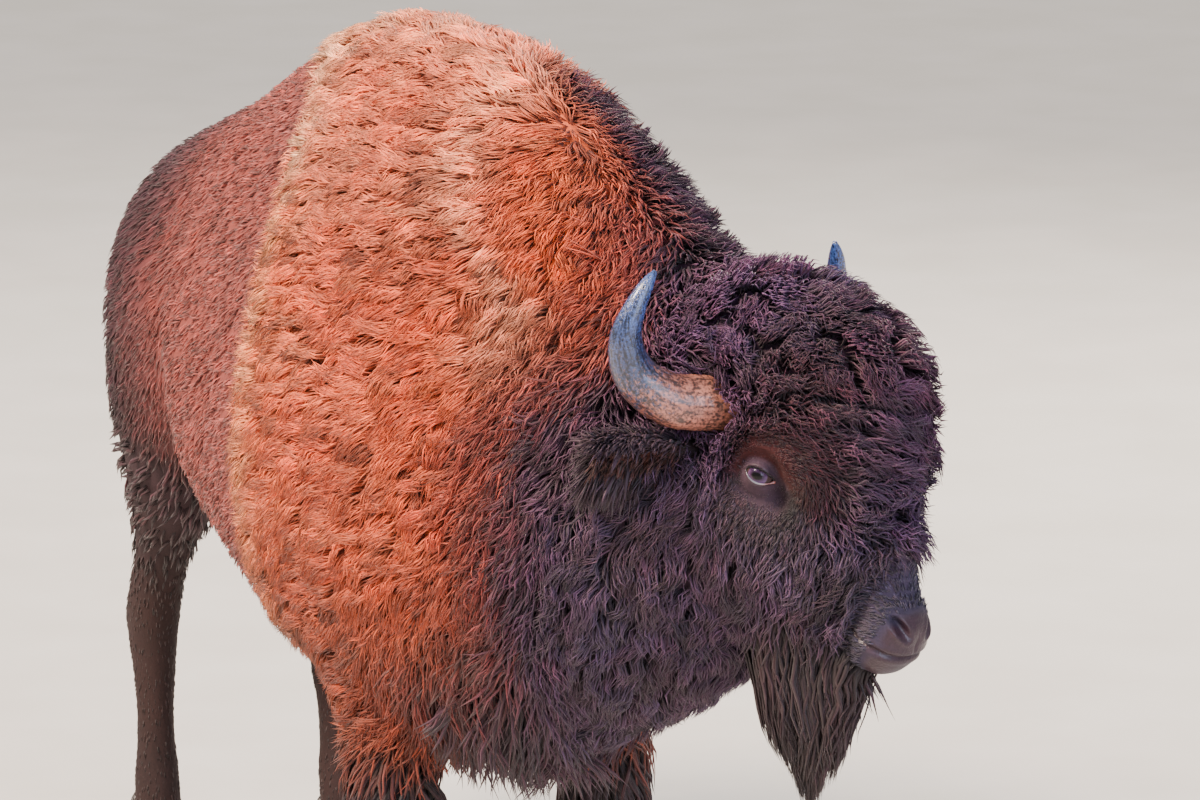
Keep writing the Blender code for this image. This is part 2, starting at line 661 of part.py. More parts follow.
def make_flesh(shop, head_pieces, tail, dewclaws):
    """The form parted into head, muzzle, beard, neck, trunk and legs."""
    frame = head_matrix()
    tilt = Vector((math.cos(HEAD_CUT_TILT), 0.0, math.sin(HEAD_CUT_TILT)))
    head_plane = (frame @ HEAD_CUT, frame.to_3x3() @ tilt)
    x, y, heading = (float(v[0]) for v in spine_line(np.array([NECK_CUT_AT])))
    neck_plane = (Vector((x, y, 0.0)), Vector((math.cos(heading), math.sin(heading), 0.0)))

    def behind(plane):
        return half_space(plane[0], -plane[1])

    def across(x_cut, sign):
        return half_space((x_cut, 0.0, 0.0), (sign, 0.0, 0.0))

    def muzzle_box(grow=0.0):
        return box_mesh((MUZZLE_BACK, -0.4, JAW_LINE), (0.9, 0.4, 0.4), frame, grow)

    def beard_box(grow=0.0):
        return box_mesh((BEARD_BACK, -0.18, -0.56), (0.9, 0.18, JAW_LINE - GAP), frame, grow)

    def leg_spaces(end, top):
        return [leg_box(end, side, -0.1, top, GAP) for side in SIDES]

    shop.part("head", "dark_brown_coat", FINE, [half_space(*head_plane)],
              [muzzle_box(GAP), beard_box(GAP)], head_pieces)
    shop.part("muzzle", "nose_skin", FINE, [muzzle_box()])
    shop.part("beard", "long_dark_hair", FINE, [beard_box()])
    shop.part("neck", "dark_brown_coat", COARSE, [behind(head_plane), half_space(*neck_plane)],
              [beard_box(GAP)])
    shop.part("shoulders", "cape_coat", COARSE, [behind(neck_plane), across(SHOULDER_BACK, 1)],
              leg_spaces("fore", FORE_TOP))
    shop.part("barrel", "cape_coat", COARSE, [across(SHOULDER_BACK, -1), across(LOIN_FRONT, 1)])
    shop.part("hindquarters", "rump_coat", COARSE, [across(LOIN_FRONT, -1)],
              leg_spaces("hind", HIND_TOP), [tail])
    legs = {"fore": ("foreleg", FORE_TOP, KNEE_CUT, "long_dark_hair"),
            "hind": ("hind_leg", HIND_TOP, HOCK_CUT, "rump_coat")}
    for end, (name, top, middle, slot) in legs.items():
        for side in SIDES:
            upper = leg_box(end, side, middle + GAP, top)
            lower = leg_box(end, side, CORONET_HEIGHT, middle)
            shop.part(name + "_upper_" + side, slot, COARSE, [upper])
            shop.part(name + "_lower_" + side, "dark_brown_coat", COARSE, [lower],
                      sockets=dewclaws[end + "_" + side])


def rest_on_origin(model, root):
    """Moves the root so that the model's box is centred over the origin."""
    bpy.context.view_layer.update()
    lows, highs = [], []
    for obj in model.objects:
        mesh = evaluated_mesh(obj)
        mesh.transform(obj.matrix_world)
        points = coordinates(mesh)
        lows.append(points.min(0))
        highs.append(points.max(0))
        bpy.data.meshes.remove(mesh)
    middle = (np.min(lows, 0) + np.max(highs, 0)) / 2
    root.location = (-middle[0], -middle[1], 0.0)
    bpy.context.view_layer.update()


def main():
    for obj in list(bpy.data.objects):
        bpy.data.objects.remove(obj)
    model = bpy.data.collections.new("bison")
    helpers = bpy.data.collections.new("helpers")
    helpers.hide_render = True
    root = bpy.data.objects.new("bison_root", None)
    head = bpy.data.objects.new("head_frame", None)
    for collection in (model, helpers):
        bpy.context.scene.collection.children.link(collection)
    for empty in (root, head):
        helpers.objects.link(empty)
    head.parent = root
    head.matrix_local = head_matrix()
    shop = Shop(model, helpers, root, head)
    shop.form = build_form(helpers)
    shop.form.parent = root
    shop.form.hide_render = True
    shop.form.display_type = "WIRE"

    head_pieces = make_head_pieces(shop)
    tail = shop.piece("tail", "rump_coat", horn_like_mesh(TAIL, 12, 12))
    shop.piece("tail_tassel", "long_dark_hair", horn_like_mesh(TASSEL, 8, 12))
    dewclaws = make_feet(shop)
    make_flesh(shop, head_pieces, tail, dewclaws)
    rest_on_origin(model, root)


main()
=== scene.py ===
"""Dressing of a life-size bison bull: skin with its folds, a coat of locks, horns, eyes, ears, tail, hooves.

Metres, +Z up; the trunk faces +X and the animal's left is +Y. The form is worked out in a frame of its own,
with the hump over x = 0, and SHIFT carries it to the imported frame, whose origin is under the middle.
"""

import math

import bmesh
import bpy
import numpy as np
from bpy.props import FloatProperty, FloatVectorProperty, PointerProperty
from bpy.types import Operator, Panel, PropertyGroup
from mathutils import Matrix, Vector


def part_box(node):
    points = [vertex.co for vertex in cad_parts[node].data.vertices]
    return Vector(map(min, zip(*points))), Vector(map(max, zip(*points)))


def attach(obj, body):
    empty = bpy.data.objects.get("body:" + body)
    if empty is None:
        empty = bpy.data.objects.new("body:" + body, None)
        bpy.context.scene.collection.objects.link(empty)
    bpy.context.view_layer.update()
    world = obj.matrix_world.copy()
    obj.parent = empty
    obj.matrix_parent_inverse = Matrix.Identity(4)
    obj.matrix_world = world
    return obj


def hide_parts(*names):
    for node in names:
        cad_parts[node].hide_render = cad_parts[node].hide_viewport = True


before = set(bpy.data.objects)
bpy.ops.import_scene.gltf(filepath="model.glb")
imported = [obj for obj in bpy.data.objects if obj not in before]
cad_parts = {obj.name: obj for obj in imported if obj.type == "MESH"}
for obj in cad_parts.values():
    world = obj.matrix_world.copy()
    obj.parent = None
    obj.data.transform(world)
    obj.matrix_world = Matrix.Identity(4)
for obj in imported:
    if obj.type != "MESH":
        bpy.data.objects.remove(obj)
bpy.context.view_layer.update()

bl_info = {
    "name": "Bison bull dressing",
    "version": (1, 0, 0),
    "blender": (4, 5, 0),
    "location": "3D View > Sidebar > Bison",
    "description": "Skins a bison bull and covers it with a winter coat of mesh locks",
    "category": "Object",
}

# ---- the form, as the solids have it ----
CORONET_HEIGHT = 0.078
LEG_SPREAD_FORE, LEG_SPREAD_HIND = 0.195, 0.155
STEP = {"fore_right": 0.07, "fore_left": -0.05, "hind_right": -0.06, "hind_left": 0.09}
STEP_FADE = 1.0
SIDES = {"right": -1, "left": 1}

POLL = np.array((0.788, 0.192, 1.340))
HEAD_YAW, HEAD_PITCH, HEAD_ROLL = math.radians(31.2), math.radians(36.1), math.radians(2.9)
HEAD_TURN = np.array(
    Matrix.Rotation(HEAD_YAW, 3, "Z")
    @ Matrix.Rotation(HEAD_PITCH, 3, "Y")
    @ Matrix.Rotation(-HEAD_ROLL, 3, "X")
)
DOWN = np.array((0.0, 0.0, -1.0))

# Trunk and neck along the spine line: distance, top, bottom, half width, widest height, and the powers
# of the outline above and below it.
TRUNK = [
    (-1.56, 1.19, 1.00, 0.070, 1.09, 2.0, 2.0),
    (-1.51, 1.300, 0.94, 0.185, 1.10, 1.9, 2.0),
    (-1.41, 1.392, 0.885, 0.268, 1.10, 1.9, 2.0),
    (-1.20, 1.478, 0.845, 0.305, 1.09, 1.8, 2.0),
    (-0.95, 1.562, 0.790, 0.318, 1.06, 1.75, 2.0),
    (-0.68, 1.680, 0.715, 0.342, 1.01, 1.75, 2.1),
    (-0.42, 1.765, 0.655, 0.362, 0.99, 1.7, 2.2),
    (-0.15, 1.802, 0.615, 0.388, 1.00, 1.65, 2.2),
    (0.10, 1.812, 0.600, 0.388, 1.01, 1.65, 2.1),
    (0.28, 1.806, 0.600, 0.368, 1.02, 1.70, 2.0),
    (0.44, 1.755, 0.625, 0.335, 1.04, 1.75, 1.9),
    (0.60, 1.645, 0.690, 0.298, 1.06, 1.80, 1.8),
    (0.76, 1.515, 0.775, 0.255, 1.09, 1.9, 1.8),
    (0.90, 1.405, 0.890, 0.175, 1.13, 2.0, 2.0),
]
NECK_BEND_START, NECK_BEND_END, NECK_BEND = 0.15, 0.85, math.radians(42)

# Head, in the head frame: x, height of the widest place, half width, reach above and below it, powers.
HEAD = [
    (-0.17, -0.08, 0.100, 0.130, 0.120, 2.0, 2.0),
    (-0.10, -0.08, 0.160, 0.235, 0.220, 2.1, 2.0),
    (0.00, -0.09, 0.190, 0.310, 0.280, 2.3, 2.0),
    (0.10, -0.10, 0.196, 0.352, 0.290, 2.4, 1.9),
    (0.20, -0.10, 0.186, 0.362, 0.275, 2.4, 1.9),
    (0.28, -0.105, 0.160, 0.335, 0.240, 2.3, 1.9),
    (0.35, -0.115, 0.128, 0.270, 0.190, 2.1, 2.0),
    (0.405, -0.12, 0.100, 0.170, 0.145, 2.0, 2.1),
    (0.44, -0.125, 0.083, 0.092, 0.112, 2.0, 2.2),
    (0.48, -0.130, 0.072, 0.067, 0.090, 2.3, 2.3),
    (0.505, -0.133, 0.068, 0.060, 0.078, 2.4, 2.4),
    (0.526, -0.136, 0.056, 0.048, 0.064, 2.4, 2.4),
    (0.537, -0.138, 0.030, 0.028, 0.038, 2.2, 2.2),
]

# Leg masses from the top down: height, how far ahead of the foot's place, half length, half width.
FORELEG = [
    (1.02, -0.03, 0.175, 0.115),
    (0.86, -0.01, 0.160, 0.116),
    (0.72, 0.01, 0.136, 0.108),
    (0.60, 0.025, 0.117, 0.098),
    (0.50, 0.03, 0.103, 0.088),
    (0.435, 0.028, 0.084, 0.073),
    (0.39, 0.025, 0.061, 0.057),
    (0.34, 0.02, 0.049, 0.046),
    (0.26, 0.01, 0.042, 0.040),
    (0.185, 0.005, 0.048, 0.047),
    (0.13, 0.02, 0.045, 0.050),
    (CORONET_HEIGHT, 0.045, 0.058, 0.058),
]
HIND_LEG = [
    (1.12, 0.06, 0.230, 0.100),
    (1.02, 0.07, 0.262, 0.134),
    (0.91, 0.09, 0.250, 0.138),
    (0.79, 0.09, 0.200, 0.116),
    (0.69, 0.04, 0.143, 0.085),
    (0.60, -0.03, 0.102, 0.065),
    (0.52, -0.07, 0.082, 0.054),
    (0.44, -0.065, 0.060, 0.047),
    (0.31, -0.045, 0.045, 0.041),
    (0.185, -0.03, 0.051, 0.048),
    (0.13, -0.015, 0.046, 0.051),
    (CORONET_HEIGHT, 0.01, 0.058, 0.058),
]
LEGS = {"fore": (FORELEG, 0.10, LEG_SPREAD_FORE), "hind": (HIND_LEG, -1.29, LEG_SPREAD_HIND)}

# Soft presses in the head frame, on both sides: middle, reach and push.
PRESSES = [
    ((0.205, -0.195, -0.035), (0.050, 0.12, 0.048), (0.0, 0.030, 0.0)),  # eye
    ((0.262, -0.170, -0.070), (0.045, 0.10, 0.050), (0.0, 0.020, 0.0)),  # tear pit
    ((0.050, -0.190, -0.010), (0.065, 0.10, 0.055), (0.0, 0.040, 0.0)),  # horn
    ((0.010, -0.200, -0.130), (0.060, 0.10, 0.055), (0.0, 0.025, 0.0)),  # ear
    ((0.130, -0.185, 0.150), (0.090, 0.12, 0.080), (0.0, -0.012, 0.0)),  # bonnet
]
# Muscle and bone that the short hair behind the cape doesn't hide, in the model frame, right side.
BODY_PRESSES = [
    ((-0.90, -0.31, 0.98), (0.11, 0.14, 0.17), (0.0, 0.030, 0.0)),  # hollow of the flank
    ((-1.03, -0.27, 1.30), (0.10, 0.10, 0.07), (0.0, 0.014, -0.010)),  # before the hook bone
    ((-1.36, -0.24, 1.13), (0.08, 0.12, 0.16), (0.010, 0.020, 0.0)),  # behind the thigh
    ((-1.22, -0.22, 0.62), (0.06, 0.10, 0.09), (0.0, 0.008, 0.0)),  # above the hock
]
SOFT_FROM, SOFT_AHEAD, SOFT_FADE = 0.50, 0.55, 0.14
SKIN_VOXEL = 0.0125

# ---- pieces of their own, right side, in the head frame ----
HORN = [
    (0.085, -0.085, 0.000, 0.046),
    (0.056, -0.135, -0.015, 0.046),
    (0.025, -0.195, -0.027, 0.043),
    (-0.025, -0.245, -0.010, 0.0355),
    (-0.060, -0.268, 0.036, 0.0265),
    (-0.080, -0.262, 0.087, 0.0175),
    (-0.095, -0.242, 0.128, 0.0085),
    (-0.099, -0.235, 0.139, 0.0035),
]
EYE, EYE_RADIUS = np.array((0.203, -0.140, -0.030)), 0.0235
EAR_ROOT, EAR_TIP = np.array((0.088, -0.135, -0.095)), np.array((-0.005, -0.300, -0.170))
EAR_FACES = np.array((0.60, -0.65, -0.25))
EAR = [
    (0.00, 0.026, 0.024, 0.002),
    (0.18, 0.034, 0.022, 0.008),
    (0.42, 0.045, 0.017, 0.016),
    (0.66, 0.043, 0.014, 0.016),
    (0.86, 0.030, 0.012, 0.009),
    (0.97, 0.013, 0.008, 0.003),
    (1.00, 0.005, 0.005, 0.000),
]
TAIL = [
    (-1.43, 0.0, 1.310, 0.032),
    (-1.53, 0.0, 1.305, 0.031),
    (-1.59, 0.0, 1.250, 0.028),
    (-1.612, 0.004, 1.160, 0.024),
    (-1.618, 0.010, 1.030, 0.020),
    (-1.618, 0.014, 0.920, 0.019),
    (-1.618, 0.015, 0.800, 0.012),
    (-1.616, 0.016, 0.740, 0.004),
]
CLAW = [
    (0.00, 0.078, 0.050, 0.0250),
    (0.06, 0.083, 0.054, 0.0275),
    (0.50, 0.066, 0.055, 0.0270),
    (1.00, 0.048, 0.052, 0.0255),
]
CLAW_OFFSET = 0.0290  # from the middle of the foot
CLAW_POINT, CLAW_HEEL = 1.7, 2.4  # powers of the outline: pointed ahead, blunt behind
SOLE_AHEAD = {"fore": 0.050, "hind": 0.015}
DEWCLAW_HEIGHT, DEWCLAW_OFFSET = 0.150, 0.024
DEWCLAW = [
    (0.016, 0.012, 0.0160),
    (-0.006, -0.004, 0.0145),
    (-0.017, -0.018, 0.0090),
    (-0.021, -0.026, 0.0030),
]

# ---- eye opening, about the middle of the ball: axes in the head frame, right side ----
EYE_OUT = np.array((0.32, -0.91, 0.25))  # where the ball looks
EYE_SLIT = np.array((0.92, 0.20, 0.36))  # from the back corner to the front one
OPENING_BACK, OPENING_FRONT = 0.0215, 0.0270  # from the middle to the corners
OPENING_UP, OPENING_DOWN = 0.0122, 0.0110
SLIT_DROOP = 0.12  # how much lower the opening lies per length ahead
BALL_SHOWN = 0.92  # share of the radius past which the lids leave the ball

# ---- where one coat passes into the next ----
HEAD_CUT, HEAD_CUT_TILT = np.array((-0.12, 0.0, 0.0)), math.radians(19)
# Height on the trunk from -1, belly, to 1, back, and where the dark mane starts along the spine there.
MANE_EDGE = [(-1.0, 0.45), (-0.4, 0.53), (0.06, 0.55), (0.28, 0.56), (0.46, 0.62), (0.58, 0.68), (0.75, 0.69),
             (0.85, 0.66), (0.92, 0.62), (0.97, 0.55), (1.0, 0.41)]
# The same for the back edge of the cape.
CAPE_EDGE = [(-1.0, -0.10), (-0.5, -0.12), (0.0, -0.15), (0.4, -0.20), (0.6, -0.24), (0.78, -0.33),
             (0.90, -0.53), (1.0, -0.70)]

CAPE_MIDDLE = 1.30  # height where the right half of the cape parts into two pieces

# Coats: depth over the skin, how far their tips lie under the solid, lift of the locks in degrees, width,
# waves along a lock, sideways swing, droop, spacing of the locks, tightness of the clumps and their size.
COAT_FIELDS = ("depth", "sink", "lift", "width", "waves", "swing", "droop", "spacing", "pull", "clump")
COATS = {
    "muzzle": (0.0040, 0.000, 14, 0.0036, 0.5, 0.0005, 0.0, 0.0040, 0.2, 0.010),
    "lid": (0.0030, 0.005, 16, 0.0022, 0.5, 0.0003, 0.0, 0.0027, 0.1, 0.010),
    "brow": (0.0070, 0.005, 24, 0.0030, 0.8, 0.0010, 0.0, 0.0032, 0.3, 0.014),
    "beard": (0.0250, 0.000, 16, 0.0090, 1.2, 0.0050, 1.5, 0.0080, 0.45, 0.036),
    "cheek": (0.0320, 0.000, 33, 0.0045, 1.3, 0.0075, 0.3, 0.0058, 0.65, 0.034),
    "bonnet": (0.0460, 0.000, 45, 0.0044, 1.3, 0.0080, 0.08, 0.0056, 0.65, 0.032),
    "shank": (0.0030, 0.000, 12, 0.0042, 0.5, 0.0006, 0.0, 0.0066, 0.1, 0.020),
    "chaps": (0.0280, 0.000, 14, 0.0095, 1.1, 0.0050, 0.8, 0.0115, 0.5, 0.040),
    "throat": (0.0420, 0.000, 18, 0.0090, 1.2, 0.0080, 0.9, 0.0110, 0.65, 0.050),
    "crest": (0.0620, -0.014, 60, 0.0054, 0.9, 0.0050, 0.0, 0.0060, 0.60, 0.028),
    "mane": (0.0400, 0.000, 31, 0.0056, 1.0, 0.0055, 0.3, 0.0066, 0.65, 0.034),
    "cape": (0.0280, 0.000, 29, 0.0038, 1.0, 0.0042, 0.12, 0.0050, 0.55, 0.022),
    "belly": (0.0180, 0.004, 20, 0.0085, 1.0, 0.0030, 0.3, 0.0150, 0.3, 0.030),
    "flank": (0.0120, 0.012, 19, 0.0049, 1.0, 0.0018, 0.1, 0.0084, 0.3, 0.018),
    "rump": (0.0110, 0.006, 16, 0.0044, 1.0, 0.0018, 0.1, 0.0084, 0.3, 0.020),
}
NAMES = list(COATS)


# ---- arithmetic of shapes ----
def linear(colour):
    """An sRGB hex value, or a colour property, as linear light."""
    if isinstance(colour, str):
        colour = [int(colour[k : k + 2], 16) / 255 for k in (1, 3, 5)]
        return np.array([c / 12.92 if c <= 0.04045 else ((c + 0.055) / 1.055) ** 2.4 for c in colour])
    return np.array(colour[:3])


def step(value, low, high):
    """0 up to low, 1 from high, and a smooth cubic between them."""
    t = np.clip((value - low) / (high - low), 0, 1)
    return t * t * (3 - 2 * t)


def unit(vectors):
    """These vectors at length 1."""
    return vectors / np.maximum(np.linalg.norm(vectors, axis=-1, keepdims=True), 1e-9)


def hill(*away):
    """1 at the middle and exp(-r squared) round it, for distances from the middle in reaches."""
    return np.exp(-sum(distance**2 for distance in away))


def ripple(points, size, seed, waves=14):
    """Smooth noise from about -1 to 1: a sum of sines of random heading and phase, about size long each."""
    rng = np.random.default_rng(seed)
    heading = unit(rng.normal(size=(waves, 3))) * (2 * math.pi / (size * rng.uniform(0.7, 1.5, (waves, 1))))
    return np.sin(points @ heading.T + rng.uniform(0, 2 * math.pi, waves)).sum(-1) * (1.6 / waves)


def smooth_rows(rows, steps):
    """Rows resampled evenly along a Hermite curve through them, with slopes by finite differences."""
    rows = np.array(rows, float)
    at = rows[:, 0]
    slopes = np.gradient(rows, at, axis=0)
    wanted = np.linspace(at[0], at[-1], steps)
    k = np.clip(np.searchsorted(at, wanted, side="right") - 1, 0, len(at) - 2)
    span = at[k + 1] - at[k]
    t = ((wanted - at[k]) / span)[:, None]
    a, b = rows[k], rows[k + 1]
    return (
        (2 * t**3 - 3 * t**2 + 1) * a
        + (t**3 - 2 * t**2 + t) * slopes[k] * span[:, None]
        + (3 * t**2 - 2 * t**3) * b
        + (t**3 - t**2) * slopes[k + 1] * span[:, None]
    )


def oval(cosine, sine, power):
    """Reach of a superellipse at this angle: (|cos|^p + |sin|^p)^(-1/p)."""
    return (np.abs(cosine) ** power + np.abs(sine) ** power) ** (-1 / power)


def section(segments, half_width, up, down, power_up, power_down):
    """Superellipse rings: an oval's reach times the half width, and times the reach up or down."""
    angle = np.linspace(0, 2 * math.pi, segments, endpoint=False)
    c, s = np.cos(angle)[None, :], np.sin(angle)[None, :]
    power = np.where(s > 0, power_up[:, None], power_down[:, None])
    reach = np.where(s > 0, up[:, None], down[:, None])
    size = oval(c, s, power)
    return size * c * half_width[:, None], size * s * reach


def tube(rings):
    """Points and faces of a surface through rings (count, segments, 3), closed by a point at each end."""
    count, segments, _ = rings.shape
    points = np.concatenate([rings.reshape(-1, 3), rings[:1].mean(1), rings[-1:].mean(1)])
    ring, place = np.meshgrid(np.arange(count - 1), np.arange(segments), indexing="ij")
    after = (place + 1) % segments
    quads = np.stack([ring * segments + place, ring * segments + after,
                      (ring + 1) * segments + after, (ring + 1) * segments + place], -1).reshape(-1, 4)
    around = np.arange(segments)
    first = np.stack([np.full(segments, count * segments), np.roll(around, -1), around], -1)
    last = np.stack([np.full(segments, count * segments + 1), around, np.roll(around, -1)], -1)
    last[:, 1:] += (count - 1) * segments
    return points, [quads, np.concatenate([first, last])]


def tube_uv(count, segments):
    """Along and around for each corner of tube's faces, in their order, from 0 to 1 without a seam's jump."""
    ring, place = np.meshgrid(np.arange(count - 1), np.arange(segments), indexing="ij")
    around = np.stack([place, place + 1, place + 1, place], -1).reshape(-1) / segments
    along = np.stack([ring, ring, ring + 1, ring + 1], -1).reshape(-1) / (count - 1)
    place = np.arange(segments)
    cap_around = np.stack([place + 0.5, place + 1, place], -1).reshape(-1) / segments
    end_around = np.stack([place + 0.5, place, place + 1], -1).reshape(-1) / segments
    return np.column_stack([
        np.concatenate([around, cap_around, end_around]),
        np.concatenate([along, np.zeros(len(cap_around)), np.ones(len(end_around))]),
    ])


def spine_line(along):
    """Plan position and heading of the spine line: straight, then an even bend to the left."""
    fine = np.linspace(TRUNK[0][0], TRUNK[-1][0], 400)
    share = np.clip((fine - NECK_BEND_START) / (NECK_BEND_END - NECK_BEND_START), 0, 1)
    heading = NECK_BEND * share * share * (3 - 2 * share)
    x = np.concatenate([[0], np.cumsum(np.diff(fine) * np.cos(heading[1:]))]) + fine[0]
    y = np.concatenate([[0], np.cumsum(np.diff(fine) * np.sin(heading[1:]))])
    return np.interp(along, fine, x), np.interp(along, fine, y), np.interp(along, fine, heading)


def spine_place(points):
    """Distance along the spine line and left of it, height from -1 (belly) to 1 (back), and its heading."""
    along = np.linspace(TRUNK[0][0], TRUNK[-1][0], 120)
    x, y, heading = spine_line(along)
    _, top, bottom, _, widest, _, _ = smooth_rows(TRUNK, 120).T
    near = ((points[:, 0, None] - x) ** 2 + (points[:, 1, None] - y) ** 2).argmin(1)
    side = (points[:, 1] - y[near]) * np.cos(heading[near]) - (points[:, 0] - x[near]) * np.sin(heading[near])
    over = points[:, 2] - widest[near]
    height = np.where(over > 0, over / (top - widest)[near], over / (widest - bottom)[near])
    return along[near], side, height, heading[near]


def to_head(points):
    """Places of the model frame in the head frame."""
    return (points - POLL) @ HEAD_TURN


def from_head(points):
    """Places of the head frame in the model frame."""
    return np.asarray(points) @ HEAD_TURN.T + POLL


def on_side(vector, side):
    """A place or direction given for the right side, on this side."""
    return np.asarray(vector) * np.array((1.0, -SIDES[side], 1.0))


SHIFT = np.array(sum(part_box("eye_right"), Vector()) / 2) - from_head(EYE)


# ---- meshes ----
def paint_points(mesh, colours):
    """Writes linear colours of the mesh's points to the attribute that the coat's materials read."""
    paint = mesh.color_attributes.new("coat_colour", "FLOAT_COLOR", "POINT")
    rgba = np.column_stack([colours, np.ones(len(colours))]).astype(np.float32)
    paint.data.foreach_set("color", rgba.ravel())


def place_piece(name, mesh, material):
    """A smooth-shaded object of this mesh, which rides on the one body."""
    mesh.shade_smooth()
    mesh.materials.append(material)
    piece = bpy.data.objects.new(name, mesh)
    bpy.context.scene.collection.objects.link(piece)
    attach(piece, "root")
    return piece


def make_piece(name, points, faces, material, uvs=(), colours=None):
    """A piece from whole arrays: points, faces of 3 or 4 corners, UV maps and point colours."""
    mesh = bpy.data.meshes.new(name)
    corners = np.concatenate([f.ravel() for f in faces]).astype(np.int32)
    sizes = np.concatenate([np.full(len(f), f.shape[1]) for f in faces])
    mesh.vertices.add(len(points))
    mesh.vertices.foreach_set("co", (points + SHIFT).astype(np.float32).ravel())
    mesh.loops.add(len(corners))
    mesh.loops.foreach_set("vertex_index", corners)
    mesh.polygons.add(len(sizes))
    mesh.polygons.foreach_set("loop_start", np.concatenate([[0], np.cumsum(sizes)[:-1]]).astype(np.int32))
    for map_name, values in uvs:
        mesh.uv_layers.new(name=map_name).data.foreach_set("uv", values.astype(np.float32).ravel())
    if colours is not None:
        paint_points(mesh, colours)
    mesh.update(calc_edges=True)
    mesh.validate()
    return place_piece(name, mesh, material)


def coordinates(mesh):
    """A mesh's points as an array."""
    points = np.empty(len(mesh.vertices) * 3, np.float32)
    mesh.vertices.foreach_get("co", points)
    return points.reshape(-1, 3).astype(float)


def set_coordinates(mesh, points):
    """Moves a mesh's points to these places."""
    mesh.vertices.foreach_set("co", points.astype(np.float32).ravel())
    mesh.update()


def point_normals(mesh):
    """A mesh's point normals as an array."""
    normals = np.empty(len(mesh.vertices) * 3, np.float32)
    mesh.vertices.foreach_get("normal", normals)
    return normals.reshape(-1, 3).astype(float)


def relax(mesh, amount, rounds):
    """Draws points towards their neighbours' mean by amount (one value or one a point), rounds times."""
    ends = np.empty(len(mesh.edges) * 2, np.int32)
    mesh.edges.foreach_get("vertices", ends)
    a, b = ends.reshape(-1, 2).T
    points = coordinates(mesh)
    count = np.maximum(np.bincount(ends, minlength=len(points)), 1)[:, None]
    amount = np.broadcast_to(np.asarray(amount, float), (len(points),))[:, None]
    for _ in range(rounds):
        total = np.stack([
            np.bincount(a, points[b, k], len(points)) + np.bincount(b, points[a, k], len(points))
            for k in range(3)
        ], 1)
        points += amount * (total / count - points)
    set_coordinates(mesh, points)


# ---- the skin ----
def leg_swing(end, side, height):
    """How far a foot's step carries its leg ahead at this height."""
    share = np.clip(1 - height / STEP_FADE, 0, 1) / (1 - CORONET_HEIGHT / STEP_FADE)
    return STEP[end + "_" + side] * share


def mass_rings():
    """Rings of each lofted mass: trunk with neck, head, and four legs."""
    along, top, bottom, half, widest, power_up, power_down = smooth_rows(TRUNK, 90).T
    side, height = section(72, half, top - widest, widest - bottom, power_up, power_down)
    x, y, heading = (v[:, None] for v in spine_line(along))
    rings = [np.stack([x - np.sin(heading) * side, y + np.cos(heading) * side, widest[:, None] + height], -1)]
    x, middle, half, up, down, power_up, power_down = smooth_rows(HEAD, 60).T
    side, height = section(64, half, up, down, power_up, power_down)
    x = np.broadcast_to(x[:, None], side.shape)
    rings.append(from_head(np.stack([x, side, middle[:, None] + height], -1)))
    angle = np.linspace(0, 2 * math.pi, 32, endpoint=False)
    for end, (table, place, spread) in LEGS.items():
        for name, sign in SIDES.items():
            rows = smooth_rows([(-row[0], *row) for row in table], 60)[:, 1:]
            height, ahead, half_length, half_width = rows.T
            x = (place + ahead + leg_swing(end, name, height))[:, None] + half_length[:, None] * np.cos(angle)
            y = sign * spread + half_width[:, None] * np.sin(angle)
            rings.append(np.stack([x, y, np.broadcast_to(height[:, None], x.shape)], -1)[::-1])
    return rings


def blank_skin():
    """The masses joined by a voxel remesh."""
    work = bmesh.new()
    for rings in mass_rings():
        points, faces = tube(rings)
        shell = bpy.data.meshes.new("mass")
        shell.from_pydata(points.tolist(), [], faces[0].tolist() + faces[1].tolist())
        work.from_mesh(shell)
        bpy.data.meshes.remove(shell)
    bmesh.ops.recalc_face_normals(work, faces=work.faces[:])
    mesh = bpy.data.meshes.new("masses")
    work.to_mesh(mesh)
    work.free()
    obj = bpy.data.objects.new("masses", mesh)
    bpy.context.scene.collection.objects.link(obj)
    remesh = obj.modifiers.new("one_skin", "REMESH")
    remesh.mode = "VOXEL"
    remesh.voxel_size = SKIN_VOXEL
    graph = bpy.context.evaluated_depsgraph_get()
    graph.update()
    skin = bpy.data.meshes.new_from_object(obj.evaluated_get(graph))
    bpy.data.objects.remove(obj)
    return skin


def pressed(points, presses, turn, origin):
    """Each point moved by every press on both sides, fading with the square of its distance in reaches."""
    for middle, reach, push in presses:
        for side in SIDES:
            local = ((points - origin) @ turn - on_side(middle, side)) / np.array(reach)
            weight = np.exp(-(local**2).sum(1))
            points = points + weight[:, None] * (turn @ on_side(push, side))
    return points


def refine(mesh, inside):
    """Splits every face whose corners all lie inside, once, and smooths the new points."""
    work = bmesh.new()
    work.from_mesh(mesh)
    chosen = inside(coordinates(mesh))
    work.verts.ensure_lookup_table()
    edges = [edge for edge in work.edges if chosen[edge.verts[0].index] and chosen[edge.verts[1].index]]
    bmesh.ops.subdivide_edges(work, edges=edges, cuts=1, use_grid_fill=True)
    bmesh.ops.triangulate(work, faces=[face for face in work.faces if len(face.verts) > 4])
    work.to_mesh(mesh)
    work.free()
    mesh.update()
    relax(mesh, 0.5 * inside(coordinates(mesh)), 3)


def eye_axes(side):
    """Unit axes of the eye opening in the model frame: along the slit, up, and out of the head."""
    out = unit(on_side(EYE_OUT, side))
    slit = on_side(EYE_SLIT, side)
    slit = unit(slit - out * (slit @ out))
    up = np.cross(out, slit) if side == "left" else np.cross(slit, out)
    if up[2] < 0:
        up = -up
    return HEAD_TURN @ slit, HEAD_TURN @ up, HEAD_TURN @ out


